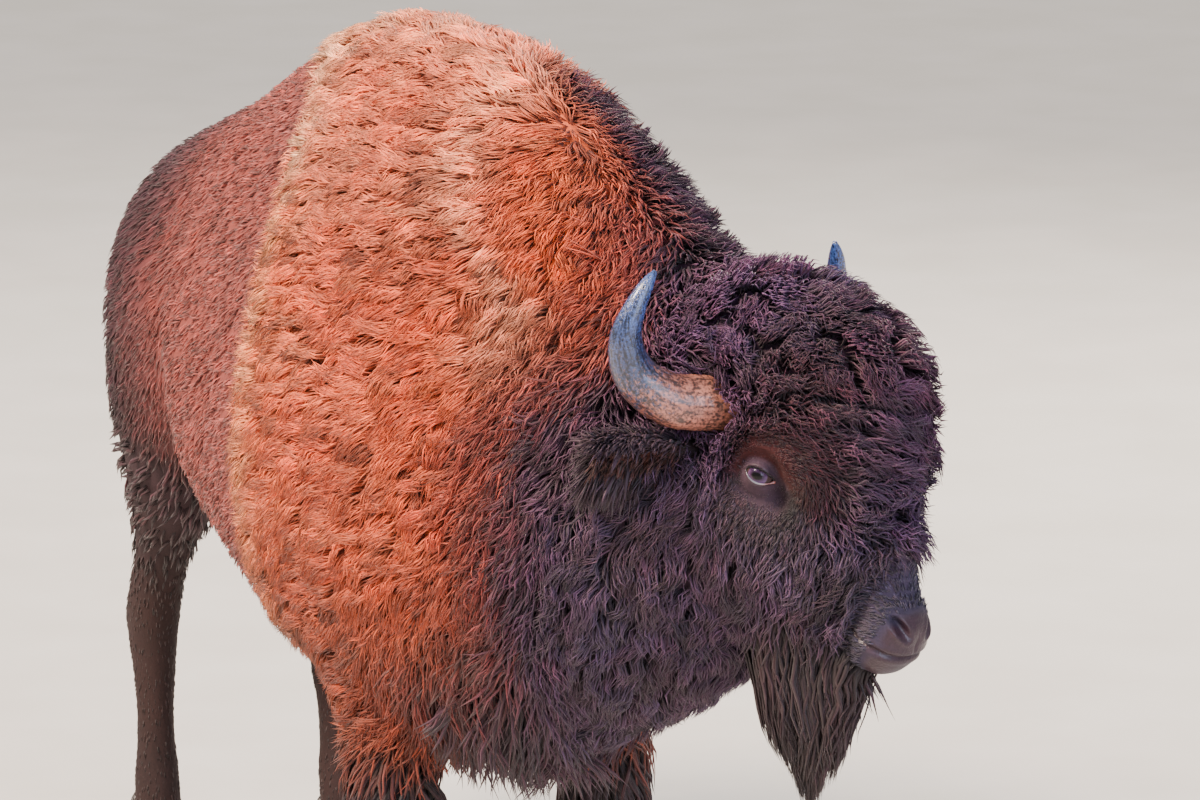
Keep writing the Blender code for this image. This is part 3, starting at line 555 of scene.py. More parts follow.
def lid_edge(along):
    """Share of the opening left here, and heights of upper and lower lid: parabolas between the corners."""
    left = np.clip(1 - (along / np.where(along > 0, OPENING_FRONT, OPENING_BACK)) ** 2, 0, 1)
    droop = SLIT_DROOP * along
    return left, OPENING_UP * left**0.8 - droop, -OPENING_DOWN * left**0.9 - droop


def opening_gap(along, up):
    """Distance outside the almond of the eye opening, below 0 inside it."""
    _, upper, lower = lid_edge(along)
    beyond = np.maximum(np.abs(along) - np.where(along > 0, OPENING_FRONT, OPENING_BACK), 0)
    return np.maximum(up - upper, lower - up) + beyond


def over_ball(far):
    """Height of the ball over its middle this far from its axis, as a sphere that runs on as a cone."""
    flat = np.sqrt(np.maximum(EYE_RADIUS**2 - np.minimum(far, BALL_SHOWN * EYE_RADIUS) ** 2, 0))
    return flat - np.maximum(far - BALL_SHOWN * EYE_RADIUS, 0) * 1.1


def eye_socket(points, side):
    """Lids: the skin follows the ball, 3 mm over it, up to the opening's edge, and goes behind it inside."""
    along, up, out = eye_axes(side)
    local = points - from_head(on_side(EYE, side))
    a, b, c = local @ along, local @ up, local @ out
    far = np.hypot(a, b)
    near = (far < 0.075) & (c > -0.05)
    gap = opening_gap(a, b)
    ball = over_ball(far)
    lid = ball + 0.0030 + 0.0022 * step(gap, 0.0, 0.006)
    # creases: over the upper lid, under the lower one, and one more round both
    lid -= 0.0030 * hill((gap - 0.0085) / 0.0022) * (b > -0.004)
    lid -= 0.0016 * hill((gap - 0.0075) / 0.0022) * (b < -0.004)
    lid -= 0.0014 * hill((gap - 0.0150) / 0.0030)
    inside = 1 - step(gap, -0.0022, 0.0004)
    target = lid * (1 - inside) + (ball - 0.006) * inside
    weight = 1 - step(far, 0.024, 0.050)
    new = c + (target - c) * weight
    brow = 0.010 * hill((b - 0.034) / 0.014, a / 0.040)
    tear = -0.022 * hill((a - 0.043) / 0.015, (b + 0.020) / 0.022)
    return points + np.where(near, new - c + brow + tear, 0.0)[:, None] * out


def mouth_line(x):
    """Height of the mouth's groove in the head frame: level round the front, then up along each side."""
    return -0.142 - 0.10 * (0.525 - x) + 0.30 * np.maximum(0.46 - x, 0)


def muzzle_details(points):
    """Nostrils, lips and the fold behind them, pressed into the front of the head, in the head frame."""
    q = to_head(points)
    x, y, z = q.T
    front = step(x, 0.40, 0.46)
    for sign in (-1, 1):
        # nostril: a comma-shaped pit whose rim stands up, from the inner lower end to the outer upper one
        across = sign * y - 0.036
        rise = z + 0.097 - 0.45 * across
        pit = hill(across / 0.0125, rise / 0.0085, (x - 0.512) / 0.030)
        rim = hill((np.hypot(across / 1.35, rise) - 0.015) / 0.0045, (x - 0.508) / 0.028)
        wing = hill((sign * y - 0.060) / 0.010, (z + 0.090) / 0.020, (x - 0.500) / 0.020)
        q[:, 0] += -0.024 * pit + 0.0035 * rim
        q[:, 1] += sign * (-0.004 * pit + 0.0040 * wing + 0.0015 * rim)
    # mouth: a groove with the lips rolled out over and under it
    line = mouth_line(x)
    groove = hill((z - line) / 0.0032) * step(x, 0.40, 0.44)
    lips = hill((np.abs(z - line) - 0.0105) / 0.0065) * step(x, 0.40, 0.44)
    outward = unit(np.column_stack([np.maximum(x - 0.47, 0) * 1.6, y, np.zeros(len(x))]))
    q += outward * (0.0022 * lips - 0.0062 * groove)[:, None]
    # philtrum between the nostrils, and wrinkles over the nose
    q[:, 0] -= 0.0026 * hill(y / 0.0035, (z + 0.118) / 0.014) * front
    fold = np.sin((x - 0.02 * np.cos(y / 0.03)) * 2 * math.pi / 0.013)
    q[:, 2] += 0.0020 * fold * hill((x - 0.478) / 0.018) * step(z, -0.10, -0.07)
    return from_head(q)


def build_skin_mesh():
    """The whole hide: form, presses, sunk by the coat's depth, then finer towards lids and nostrils."""
    mesh = blank_skin()
    relax(mesh, 0.5, 12)
    points = coordinates(mesh)
    soft = step(points[:, 2], SOFT_FROM, SOFT_FROM + SOFT_FADE) * step(
        SOFT_AHEAD - points[:, 0], 0, SOFT_FADE)
    relax(mesh, 0.8 * soft, 80)
    points = pressed(coordinates(mesh), PRESSES, HEAD_TURN, POLL)
    points = pressed(points, BODY_PRESSES, np.eye(3), np.zeros(3))
    set_coordinates(mesh, points)
    share = coat_shares(points)
    under = coat_value(share, "depth") + coat_value(share, "sink")
    set_coordinates(mesh, points - point_normals(mesh) * under[:, None])
    relax(mesh, 0.5, 5)
    eyes = [from_head(on_side(EYE, side)) for side in SIDES]

    def near_eyes(p, reach):
        """Whether points lie within this reach of either eye."""
        return np.minimum(*(np.linalg.norm(p - eye, axis=1) for eye in eyes)) < reach

    def on_muzzle(p, back):
        """Whether points lie on nose or mouth, ahead of this place in the head frame."""
        x, y, z = to_head(p).T
        return (x > back) & (np.abs(y) < 0.2) & (z > -0.3)

    refine(mesh, lambda p: near_eyes(p, 0.085) | on_muzzle(p, 0.36))
    refine(mesh, lambda p: near_eyes(p, 0.060) | on_muzzle(p, 0.42))
    refine(mesh, lambda p: near_eyes(p, 0.036))
    points = muzzle_details(coordinates(mesh))
    for side in SIDES:
        points = eye_socket(points, side)
    set_coordinates(mesh, points)
    return mesh


# ---- where each coat grows ----
def from_eye(q):
    """How far ahead of the eye and how far over it, along and across the line of the brow."""
    ahead, over = q[:, 0] - EYE[0], q[:, 2] - EYE[2]
    return 0.81 * ahead + 0.59 * over, 0.73 * over - 0.68 * ahead


def around_eye(q):
    """1 on the edge of the short-haired oval round the eye, taller than it is long, and 0 at its middle."""
    front_of, rise = from_eye(q)
    return np.hypot((front_of - 0.022) / 0.074, (rise + 0.010) / 0.086)


def edge_at(height, edge):
    """Place along the spine line of a coat's edge at this height on the trunk."""
    return np.interp(height, *np.array(edge).T)


def coat_shares(points):
    """Share of every coat at each point, in the order of NAMES: each zone takes its part of what is left."""
    x, _, z = points.T
    q = to_head(points)
    hx, hy, hz = q.T
    along, side, height, _ = spine_place(points)
    cut_normal = np.array((math.cos(HEAD_CUT_TILT), 0.0, math.sin(HEAD_CUT_TILT)))
    ahead = step((q - HEAD_CUT) @ cut_normal, -0.05, 0.06)
    eye = np.minimum(*(np.linalg.norm(q - on_side(EYE, s), axis=1) for s in SIDES))
    past_mane = along - edge_at(height, MANE_EDGE)
    past_cape = along - edge_at(height, CAPE_EDGE)
    fore = step(x, -0.45, -0.30)
    nose = hx + 0.25 * np.minimum(hz + 0.12, 0) - 0.9 * np.maximum(np.abs(hy) - 0.03, 0)
    zones = {
        "muzzle": ahead * step(nose, 0.395, 0.43) * step(hz, -0.25, -0.21),
        "lid": ahead * (1 - step(eye, 0.026, 0.036)),
        "brow": ahead * (1 - step(around_eye(q), 0.80, 1.45)),
        "beard": ahead * step(hx, 0.28, 0.33) * step(-hz, 0.165, 0.20) * (1 - step(np.abs(hy), 0.07, 0.10)),
        "cheek": ahead * step(-hz + 0.25 * (hx - 0.2), 0.02, 0.11),
        "bonnet": ahead,
        "shank": step(-z, -0.43 - 0.40 * (1 - fore), -0.36 - 0.14 * (1 - fore)),
        "chaps": fore * step(-z, -0.66, -0.58),
        "throat": step(along, 0.22, 0.40) * step(-height, 0.30, 0.70),
        "crest": (step(along, 0.24, 0.38) * step(side, -0.035, 0.015) * step(-side, -0.26, -0.16)
                  * step(height, 0.4, 0.7)),
        "mane": step(past_mane + 0.035 * ripple(points, 0.12, 51), -0.06, 0.06),
        "cape": step(past_cape, -0.030, 0.025) * step(height, -1.4, -1.0),
        "belly": step(-height, 0.72, 0.95),
        "flank": step(along, -1.05, -0.60),
        "rump": np.ones(len(points)),
    }
    left = np.ones(len(points))
    shares = []
    for name in NAMES:
        shares.append(left * zones[name])
        left = left - shares[-1]
    return np.stack(shares, 1)


def coat_value(shares, field):
    """The coats' value of this field, weighed by their shares."""
    return shares @ np.array([COATS[name][COAT_FIELDS.index(field)] for name in NAMES])


def coat_lie(points, normals, shares):
    """The way hair points at each root before it lifts: each coat's own direction, weighed and laid flat."""
    q = to_head(points)
    along, side, height, heading = spine_place(points)
    ones = np.ones(len(points))
    forward = np.stack([np.cos(heading), np.sin(heading), 0 * heading], 1)
    sideways = np.stack([0 * side, np.sign(side), 0 * side], 1)

    def head_way(x, y, z, down):
        """A direction of the head frame, with a share of straight down."""
        return np.stack([x * ones, y * ones, z * ones], 1) @ HEAD_TURN.T + (down * ones)[:, None] * DOWN

    front = step(along, 0.30, 0.60)[:, None]
    apart = np.clip(q[:, 1] / 0.10, -1, 1)
    back_down = forward * np.array(-0.80) + DOWN * (0.45 + 0.30 * step(-height, -0.6, 0.2))[:, None]
    low = step(-q[:, 0], -0.36, -0.22)
    legs = step(-points[:, 2], -0.95, -0.70)[:, None]
    eye = np.where(q[:, 1:2] < 0, on_side(EYE, "right"), on_side(EYE, "left"))
    away = unit((q - eye) @ HEAD_TURN.T)
    over_eye = step(from_eye(q)[1], -0.03, 0.02)[:, None]
    ways = {
        "muzzle": head_way(-1.0, 0.25 * apart, -0.35, 0.1),
        "lid": away + head_way(-0.5, 0, 0, 0.0),
        "brow": 0.35 * away + over_eye * head_way(0.75, 0.30 * apart, 0.50, 0.10)
        + (1 - over_eye) * head_way(-0.25, 0, -0.8, 0.25),
        "beard": head_way(0.1, 0, 0, 1.0),
        "cheek": head_way(-0.05, 0, -0.9, 0.25 + 0.5 * low),
        "bonnet": head_way(0.75, 0.30 * apart, 0.50, 0.10),
        "chaps": DOWN - 0.15 * forward,
        "shank": DOWN,
        "throat": DOWN - 0.25 * forward,
        "crest": 0.4 * forward + 0.6 * sideways * (np.abs(side) / 0.05)[:, None],
        "mane": -0.65 * forward + DOWN * 0.75,
        "cape": back_down * (1 - front) + (DOWN - 0.35 * forward) * front,
        "belly": -0.8 * forward + 0.3 * DOWN,
        "flank": -0.8 * forward + 0.5 * DOWN,
        "rump": (-0.7 * forward + 0.7 * DOWN) * (1 - legs) + (DOWN - 0.12 * forward) * legs,
    }
    lie = sum(shares[:, k, None] * unit(ways[name]) for k, name in enumerate(NAMES))
    lie = unit(lie - normals * (lie * normals).sum(1, keepdims=True))
    swirl = 0.45 * ripple(points, 0.22, 11) + 0.30 * ripple(points, 0.07, 12)
    swirl = swirl * coat_value(shares, "pull") / 0.6
    return lie * np.cos(swirl)[:, None] + np.cross(normals, lie) * np.sin(swirl)[:, None]


def unwrap(mesh, map_name):
    """An unwrap of the skin's own shape: charts cut where the surface turns, packed into the unit square."""
    mesh.uv_layers.new(name=map_name)
    obj = bpy.data.objects.new("unwrap", mesh)
    bpy.context.scene.collection.objects.link(obj)
    bpy.context.view_layer.objects.active = obj
    obj.select_set(True)
    bpy.ops.object.mode_set(mode="EDIT")
    bpy.ops.mesh.select_all(action="SELECT")
    bpy.ops.uv.smart_project(angle_limit=math.radians(66), island_margin=0.001)
    bpy.ops.object.mode_set(mode="OBJECT")
    bpy.data.objects.remove(obj)


# ---- the coat ----
def ground_of(mesh, map_name, shares=None):
    """What locks grow on: points, normals, coats' shares, and each triangle's corners and unwrap."""
    mesh.calc_loop_triangles()
    count = len(mesh.loop_triangles) * 3
    corners, loops = np.empty(count, np.int32), np.empty(count, np.int32)
    mesh.loop_triangles.foreach_get("vertices", corners)
    mesh.loop_triangles.foreach_get("loops", loops)
    uv = np.empty(len(mesh.loops) * 2, np.float32)
    mesh.uv_layers[map_name].data.foreach_get("uv", uv)
    points = coordinates(mesh) - SHIFT
    return {
        "points": points,
        "normals": point_normals(mesh),
        "shares": coat_shares(points) if shares is None else shares,
        "corners": corners.reshape(-1, 3),
        "unwrap": uv.reshape(-1, 2)[loops].reshape(-1, 3, 2).astype(float),
    }


def scatter(ground, weight, most, seed):
    """Roots over the ground: one for each 1 / weight of its area, anywhere inside the triangles."""
    rng = np.random.default_rng(seed)
    corners = ground["corners"]
    a, b, c = (ground["points"][corners[:, k]] for k in range(3))
    area = np.linalg.norm(np.cross(b - a, c - a), axis=1) / 2 * weight[corners].mean(1)
    total = np.cumsum(area)
    count = int(min(total[-1], most))
    drawn = np.searchsorted(total, (np.arange(count) + rng.random(count)) / count * total[-1])
    drawn = np.minimum(drawn, len(corners) - 1)
    first, second = np.sqrt(rng.random(count)), rng.random(count)
    mix = np.stack([1 - first, first * (1 - second), first * second], 1)[:, :, None]
    picked = corners[drawn]
    return {
        "points": (ground["points"][picked] * mix).sum(1),
        "normals": unit((ground["normals"][picked] * mix).sum(1)),
        "shares": (ground["shares"][picked] * mix).sum(1),
        "unwrap": (ground["unwrap"][drawn] * mix).sum(1),
    }


def keep(roots, chosen):
    """Only the chosen roots."""
    return {name: values[chosen] for name, values in roots.items()}


CLUMP_SHAPE = np.array((1.6, 1.2, 0.75))  # clumps lie longer than they are high,
CAPE_CLUMP_MORE = np.array((3.0, 0.4, 0.0))  # and on the cape longer by this


def clumps_of(points, size, seed, shape=CLUMP_SHAPE):
    """Clump of each root: cells of a wavy grid. Gives their numbers, middles, and how many there are."""
    bend = np.stack([ripple(points, 0.09, seed + k) for k in range(3)], 1)
    bent = points / (size[:, None] * shape) + 0.35 * bend
    _, clump = np.unique(np.floor(bent).astype(int), axis=0, return_inverse=True)
    clump = clump.reshape(-1)
    count = clump.max() + 1
    members = np.bincount(clump, minlength=count)
    middle = np.stack([np.bincount(clump, points[:, k], count) / members for k in range(3)], 1)
    return clump, middle, count


def lock_axes(line, out, nudge):
    """Unit axes square to locks' centre lines: the first lies flat over out, the second stands on it."""
    along = unit(np.gradient(line, axis=1))
    wide = unit(np.cross(np.broadcast_to(out[:, None], along.shape), along) + nudge)
    return wide, np.cross(along, wide)


def lock_paths(roots, lie, length, depth, width, look, rings, seed):
    """Centre lines of locks and their two cross axes at rings + 1 places, as (count, rings + 1, 3) arrays.

    A lock leaves the skin at a slant, levels off at its coat's depth, waves from side to side as a sine,
    droops with the square of the way along it, and draws towards the middle of its clump.
    """
    rng = np.random.default_rng(seed)
    points, normals = roots["points"], roots["normals"]
    count = len(points)
    t = np.linspace(0, 1, rings + 1)[None, :, None]
    shape = CLUMP_SHAPE + roots["shares"][:, NAMES.index("cape"), None] * CAPE_CLUMP_MORE
    clump, middle, clumps = clumps_of(points, look["clump"], seed, shape)
    turn = (rng.normal(0, 0.26, clumps)[clump] + rng.normal(0, 0.13, count)) * look["pull"] / 0.5
    lie = lie * np.cos(turn)[:, None] + np.cross(normals, lie) * np.sin(turn)[:, None]
    length = length * rng.uniform(0.75, 1.1, count) * rng.uniform(0.85, 1.1, clumps)[clump]
    depth = depth * rng.uniform(0.80, 1.0, count) * rng.uniform(0.52, 1.14, clumps)[clump]
    across = unit(np.cross(normals, lie))
    level = np.sqrt(np.maximum(length**2 - depth**2, 0))
    line = points[:, None] - 0.0015 * normals[:, None] + lie[:, None] * level[:, None, None] * t
    line = line + normals[:, None] * depth[:, None, None] * (1 - (1 - t) ** 1.8)
    phase = (rng.uniform(0, 2 * math.pi, clumps)[clump] + rng.normal(0, 0.4, count))[:, None, None]
    for way, shift, size in ((across, 0, 1.0), (normals, math.pi / 2, 0.45)):
        wave = np.sin(2 * math.pi * look["waves"][:, None, None] * t + phase + shift)
        wave = wave - np.sin(phase + shift) * (1 - t)
        line = line + way[:, None] * wave * size * look["swing"][:, None, None] * t**0.5
    line = line + DOWN * (look["droop"] * length)[:, None, None] * 0.5 * t**2
    drawn = middle[clump] - points
    drawn = across * (drawn * across).sum(1, keepdims=True) + 0.3 * lie * (drawn * lie).sum(1, keepdims=True)
    line = line + drawn[:, None] * look["pull"][:, None, None] * t**1.3
    wide, thick = lock_axes(line, normals, 1e-6 * across[:, None])
    roll = rng.normal(0, 0.35, count)[:, None, None]
    wide, thick = wide * np.cos(roll) + thick * np.sin(roll), thick * np.cos(roll) - wide * np.sin(roll)
    half = (width * rng.uniform(0.75, 1.2, count))[:, None, None] / 2
    return line, wide * half, thick * half, clump, clumps


def lock_mesh(line, wide, thick, tone, colours, unwrap_at, length):
    """Points, faces, UV maps and colours of closed three-sided locks that swell, then run to a point."""
    count, places, _ = line.shape
    rings = places - 1
    t = np.linspace(0, 1, places)[:-1]
    swell = (0.78 + 0.50 * t) * (1 - t**1.4) ** 0.85 / 0.85
    corner = np.array(((-1.0, -0.30), (0.0, 0.52), (1.0, -0.30)))
    body = line[:, :-1, None] + swell[None, :, None, None] * (
        corner[None, None, :, 0, None] * wide[:, :-1, None]
        + corner[None, None, :, 1, None] * thick[:, :-1, None]
    )
    points = np.concatenate([body.reshape(count, rings * 3, 3), line[:, -1:]], 1)
    each = rings * 3 + 1
    start = (np.arange(count) * each)[:, None, None]
    ring, side = (v.reshape(-1) for v in np.meshgrid(np.arange(rings - 1), np.arange(3), indexing="ij"))
    after = (side + 1) % 3
    quads = np.stack([ring * 3 + side, ring * 3 + 3 + side, ring * 3 + 3 + after, ring * 3 + after], -1)
    sides = np.arange(3)
    last = (rings - 1) * 3
    tips = np.stack([last + sides, np.full(3, each - 1), last + (sides + 1) % 3], -1)
    caps = np.concatenate([tips, np.array([[0, 1, 2]])])
    faces = [(start + quads).reshape(-1, 4), (start + caps).reshape(-1, 3)]
    # how far round and along each corner lies, for both maps
    around = np.stack([side, side, side + 1, side + 1], -1).reshape(-1) / 3
    up = np.stack([ring, ring + 1, ring + 1, ring], -1).reshape(-1) / rings
    cap_around = np.concatenate([np.stack([sides, sides + 0.5, sides + 1], -1).reshape(-1), [0, 1, 2]]) / 3
    cap_up = np.concatenate([np.tile([rings - 1, rings, rings - 1], 3), [0, 0, 0]]) / rings
    maps = []
    for u, v in ((around, up), (cap_around, cap_up)):
        place = unwrap_at[:, None] + 0.003 * (np.stack([u, v], -1)[None] - 0.5)
        strand = np.stack([
            u[None] + (np.arange(count) * 0.37 % 61.0)[:, None],
            np.broadcast_to(v[None], (count, len(v))) * (length / 0.03)[:, None],
        ], -1)
        maps.append((place.reshape(-1, 2), strand.reshape(-1, 2)))
    uvs = [(name, np.concatenate([maps[0][k], maps[1][k]])) for k, name in enumerate(("OFBake", "strands"))]
    root, tip = colours
    t = np.concatenate([np.repeat(t, 3), [1.0]])[None, :, None]
    shade = root[:, None] * (1 - step(t, 0.0, 0.75)) + tip[:, None] * step(t, 0.0, 0.75)
    shade = shade * tone.reshape(count, 1, -1)
    return points.reshape(-1, 3), faces, uvs, shade.reshape(-1, 3)


def grow(name, ground, coats, rings, most, seed, material, where=None):
    """One piece of coat: the named coats' locks, rings long, at most this many, where roots are wanted."""
    weight = sum(ground["shares"][:, NAMES.index(c)] for c in coats)
    weight = weight / coat_value(ground["shares"], "spacing") ** 2
    if where is not None:
        weight = weight * where(ground["points"])
    roots = scatter(ground, weight, most, seed)
    roots = keep(roots, clear_of_pieces(roots["points"]))
    shares = roots["shares"]
    look = {field: coat_value(shares, field) for field in COAT_FIELDS}
    lie = coat_lie(roots["points"], roots["normals"], shares)
    length = look["depth"] / np.sin(np.radians(look["lift"])) * bpy.context.scene.bison_coat.length
    line, wide, thick, clump, clumps = lock_paths(
        roots, lie, length, look["depth"], look["width"], look, rings, seed)
    tip = to_head(line[:, -1])
    over = (1 - step(around_eye(tip), 0.60, 0.95)) * (np.abs(np.abs(tip[:, 1]) - abs(EYE[1])) < 0.10)
    line = line[:, :1] + (line - line[:, :1]) * (1 - 0.65 * over)[:, None, None]
    rng = np.random.default_rng(seed + 1)
    tone = (rng.normal(1, 0.20, len(line)) * rng.normal(1, 0.26, clumps)[clump])[:, None]
    tone = tone * (1 + rng.normal(0, 1, clumps)[clump][:, None] * np.array((0.06, -0.02, -0.06)))
    colours = coat_colours(roots["points"], shares)
    points, faces, uvs, shade = lock_mesh(
        line, wide, thick, np.clip(tone, 0.4, 1.8), colours, roots["unwrap"], length)
    make_piece(name, points, faces, material, uvs, shade)


def clear_of_pieces(points):
    """Roots that aren't inside a horn, in an eye opening, or on the front of the muzzle, over nostrils and
    mouth.
    """
    q = to_head(points)
    clear = np.ones(len(points), bool)
    for side in SIDES:
        rows = smooth_rows([(k, *on_side(r[:3], side), r[3]) for k, r in enumerate(HORN)], 40)[:, 1:]
        away = np.linalg.norm(q[:, None] - rows[None, :, :3], axis=2) - rows[None, :, 3]
        clear &= away.min(1) > -0.002
        along, up, _ = eye_axes(side)
        local = points - from_head(on_side(EYE, side))
        gap = opening_gap(local @ along, local @ up)
        clear &= (gap > 0.0030) | (np.linalg.norm(local, axis=1) > 0.06)
    nose = (q[:, 0] > 0.492) & (np.abs(q[:, 1]) < 0.062) & (q[:, 2] < -0.070) & (q[:, 2] > -0.215)
    return clear & ~nose


# ---- colour of the coat ----
# Painted shadows in the wool ahead of and over the eye, right and left: place in the head frame from the eye,
# reach, share.
HEAD_PAINTED_SHADOWS = ((-0.113, 0.156, 0.055, 0.50), (0.12, 0.07, 0.060, 0.50), (0.205, -0.015, 0.055, 0.50))


def coat_colours(points, shares):
    """Linear colours of a lock's root and tip here, the same for skin and coat, with painted shade and
    painted highlights in them.
    """
    hair = bpy.context.scene.bison_coat
    q = to_head(points)
    along, side, height, _ = spine_place(points)
    cape, rim, front, flank, rump, dark, wool, cheek, brow, lid, nose, beard, shank = (
        np.array(getattr(hair, name)[:3])
        for name in "cape cape_rim cape_front flank rump dark wool cheek brow lid nose beard shank".split())

    def blend(first, second, share):
        """From the first colour to the second by share."""
        return first + (second - first) * share[:, None]

    # painted highlight: a pale band along the cape's rear edge, broader and stronger over the top of the
    # back, for the light the hair there catches
    past = along - edge_at(height, CAPE_EDGE)
    pale = 0.75 * hill((past - 0.050) / 0.05)
    pale = pale + (0.40 + 0.25 * step(height, 0.7, 0.9)) * hill((past - 0.12) / 0.14)
    fold = along - np.interp(height, (0.50, 0.62, 0.70, 0.84), (0.55, 0.55, 0.42, 0.36))
    near = (side < 0) * step(height, 0.30, 0.50)
    pale = pale + 0.35 * step(height, 0.82, 0.94) * step(-along, -0.5, -0.3)
    tan = blend(cape, rim, np.minimum(pale, 1))
    # painted shade in a crease and a painted highlight along the fold of the cape over the right shoulder, on
    # the right side only
    tan = tan * (1 - 0.36 * near * hill((fold + 0.10) / 0.05) * step(-height, -0.84, -0.72))[:, None]
    tan = blend(tan, tan * np.array((0.88, 0.66, 0.48)), step(-points[:, 2], -1.62, -1.36))
    tan = blend(tan, front, step(along, 0.30, 0.55) * step(-height, -1.15, -0.8))
    # painted highlight along the fold over the right shoulder
    tan = blend(tan, rim, 0.65 * near * hill(fold / 0.06))
    into = along - edge_at(height, MANE_EDGE) + 0.03 * ripple(points, 0.10, 33)
    burnt = (front + 2 * dark) / 3
    tan = blend(tan, burnt, step(into, -0.15, 0.01))
    mane = blend(burnt, dark, step(into, -0.04, 0.05))
    # painted shade: the cape darker down the sides towards the belly
    tan = tan * (0.42 + 0.58 * step(height, -0.80, 0.15))[:, None]
    back = blend(flank, rump, step(-along, 0.75, 1.25))
    # painted shade: loin, flank and rump darker down the sides towards the belly
    back = back * (0.60 + 0.40 * step(height, -0.9, 0.0))[:, None]
    # the head: painted shadows in the wool, painted shade in the pit ahead of the eye, and the eyebrow over
    # it
    ahead, over = q[:, 0] - EYE[0], q[:, 2] - EYE[2]
    front_of, rise = from_eye(q)
    # painted shadows in the wool
    shade = 1 - sum(
        share * hill((ahead - a) / reach, (over - b) / reach) for a, b, reach, share in HEAD_PAINTED_SHADOWS)
    # painted shade in the pit ahead of the eye, under the overhanging wool
    pit = 1 - 0.8 * hill((front_of - 0.058 - 0.3 * (rise + 0.04)) / 0.022, (rise + 0.052) / 0.036)[:, None]
    warm = 1 - hill((ahead + 0.02) / 0.12, (over - 0.15) / 0.12)[:, None] * np.array((0.22, 0.56, 0.70))
    browed = step(rise + np.maximum(front_of - 0.020, 0), -0.008, 0.014)
    paint = {
        "muzzle": pit * blend(cheek, nose, step(q[:, 0], 0.40, 0.47)),
        "lid": lid * 0.60,
        "brow": pit * blend(lid * 0.45, brow * 1.10, browed),
        "beard": beard,
        "cheek": pit * cheek * shade[:, None],
        "bonnet": shade[:, None] * wool * warm,
        "chaps": beard,
        "shank": shank,
        "throat": (dark + beard) / 2,
        "crest": blend(mane, dark, step(side, -0.05, 0.01)),
        "mane": mane,
        "cape": tan,
        "belly": rump * 0.6,
        "flank": back,
        "rump": back,
    }
    base = sum(shares[:, k, None] * paint[name] for k, name in enumerate(NAMES))
    base = base * (1 + 0.12 * ripple(points, 0.25, 31) + 0.17 * ripple(points, 0.06, 32))[:, None]
    base = base * (1 + ripple(points, 0.20, 34)[:, None] * np.array((0.08, -0.05, -0.12)))
    depth = coat_value(shares, "depth")
    # roots darker, as painted shade down among the locks; tips lighter, partly sun-bleached hair and partly
    # painted highlight; both lighter on the cape's pale band, as painted highlight
    edge = np.minimum(pale, 1) * shares[:, NAMES.index("cape")]
    rooted = 0.60 - 0.35 * step(depth, 0.008, 0.03) + 0.45 * edge
    tipped = 1.0 + 0.40 * step(depth, 0.004, 0.020) + 0.45 * edge + 0.25 * shares[:, NAMES.index("cheek")]
    return np.clip(base * rooted[:, None], 0, 1), np.clip(base * tipped[:, None], 0, 1)


# ---- materials ----
def connect(node, links):
    """Links into a node's inputs, each from an output or from the first output of a node."""
    for name, source in links.items():
        node.id_data.links.new(getattr(source, "outputs", [source])[0], node.inputs[name])


def add_node(tree, kind, settings=(), links=()):
    """A node of this kind with its settings, socket values, (place, sRGB hex) stops of a ramp, and links."""
    node = tree.nodes.new(kind)
    for name, value in dict(settings).items():
        if name == "stops":
            for place, _ in value[2:]:
                node.color_ramp.elements.new(place)
            for element, (place, colour) in zip(node.color_ramp.elements, value):
                element.position = place
                element.color = (*linear(colour), 1.0)
        elif isinstance(name, int) or name in node.inputs:
            node.inputs[name].default_value = value
        else:
            setattr(node, name, value)
    connect(node, dict(links))
    return node


def new_material(name, **shader):
    """A material whose Principled shader has these values on its sockets: gives it, its tree and shader."""
    material = bpy.data.materials.new(name)
    material.use_nodes = True
    tree = material.node_tree
    surface = next(n for n in tree.nodes if n.type == "BSDF_PRINCIPLED")
    for socket, value in shader.items():
        surface.inputs[socket.replace("_", " ")].default_value = value
    return material, tree, surface


def hair_material(name, streak_depth):
    """Winter hair, keratin with a fatty sheen: soft gloss along the strands, each lock split into streaks.

    A real hair is 0.06 mm thick, too fine to show, so about five streaks across each lock stand for it.
    """
    material, tree, surface = new_material(
        name, Roughness=0.62, IOR=1.55, Sheen_Weight=0.08, Sheen_Roughness=0.45, Specular_IOR_Level=0.35)
    colour = add_node(tree, "ShaderNodeAttribute", {"attribute_name": "coat_colour"})
    strands = add_node(tree, "ShaderNodeUVMap", {"uv_map": "strands"})
    stretch = add_node(tree, "ShaderNodeMapping", {"Scale": (6.5, 0.45, 1.0)}, {"Vector": strands})
    streaks = add_node(
        tree, "ShaderNodeTexNoise", {"Scale": 1.0, "Detail": 3.0, "Roughness": 0.55}, {"Vector": stretch})
    tone = add_node(
        tree, "ShaderNodeMapRange", {"From Min": 0.32, "From Max": 0.68, "To Min": 0.38, "To Max": 1.62},
        {"Value": streaks})
    shade = add_node(tree, "ShaderNodeVectorMath", {"operation": "SCALE"}, {"Vector": colour, "Scale": tone})
    bump = add_node(tree, "ShaderNodeBump", {"Strength": 0.8, "Distance": streak_depth}, {"Height": streaks})
    connect(surface, {"Base Color": shade, "Normal": bump})
    return material


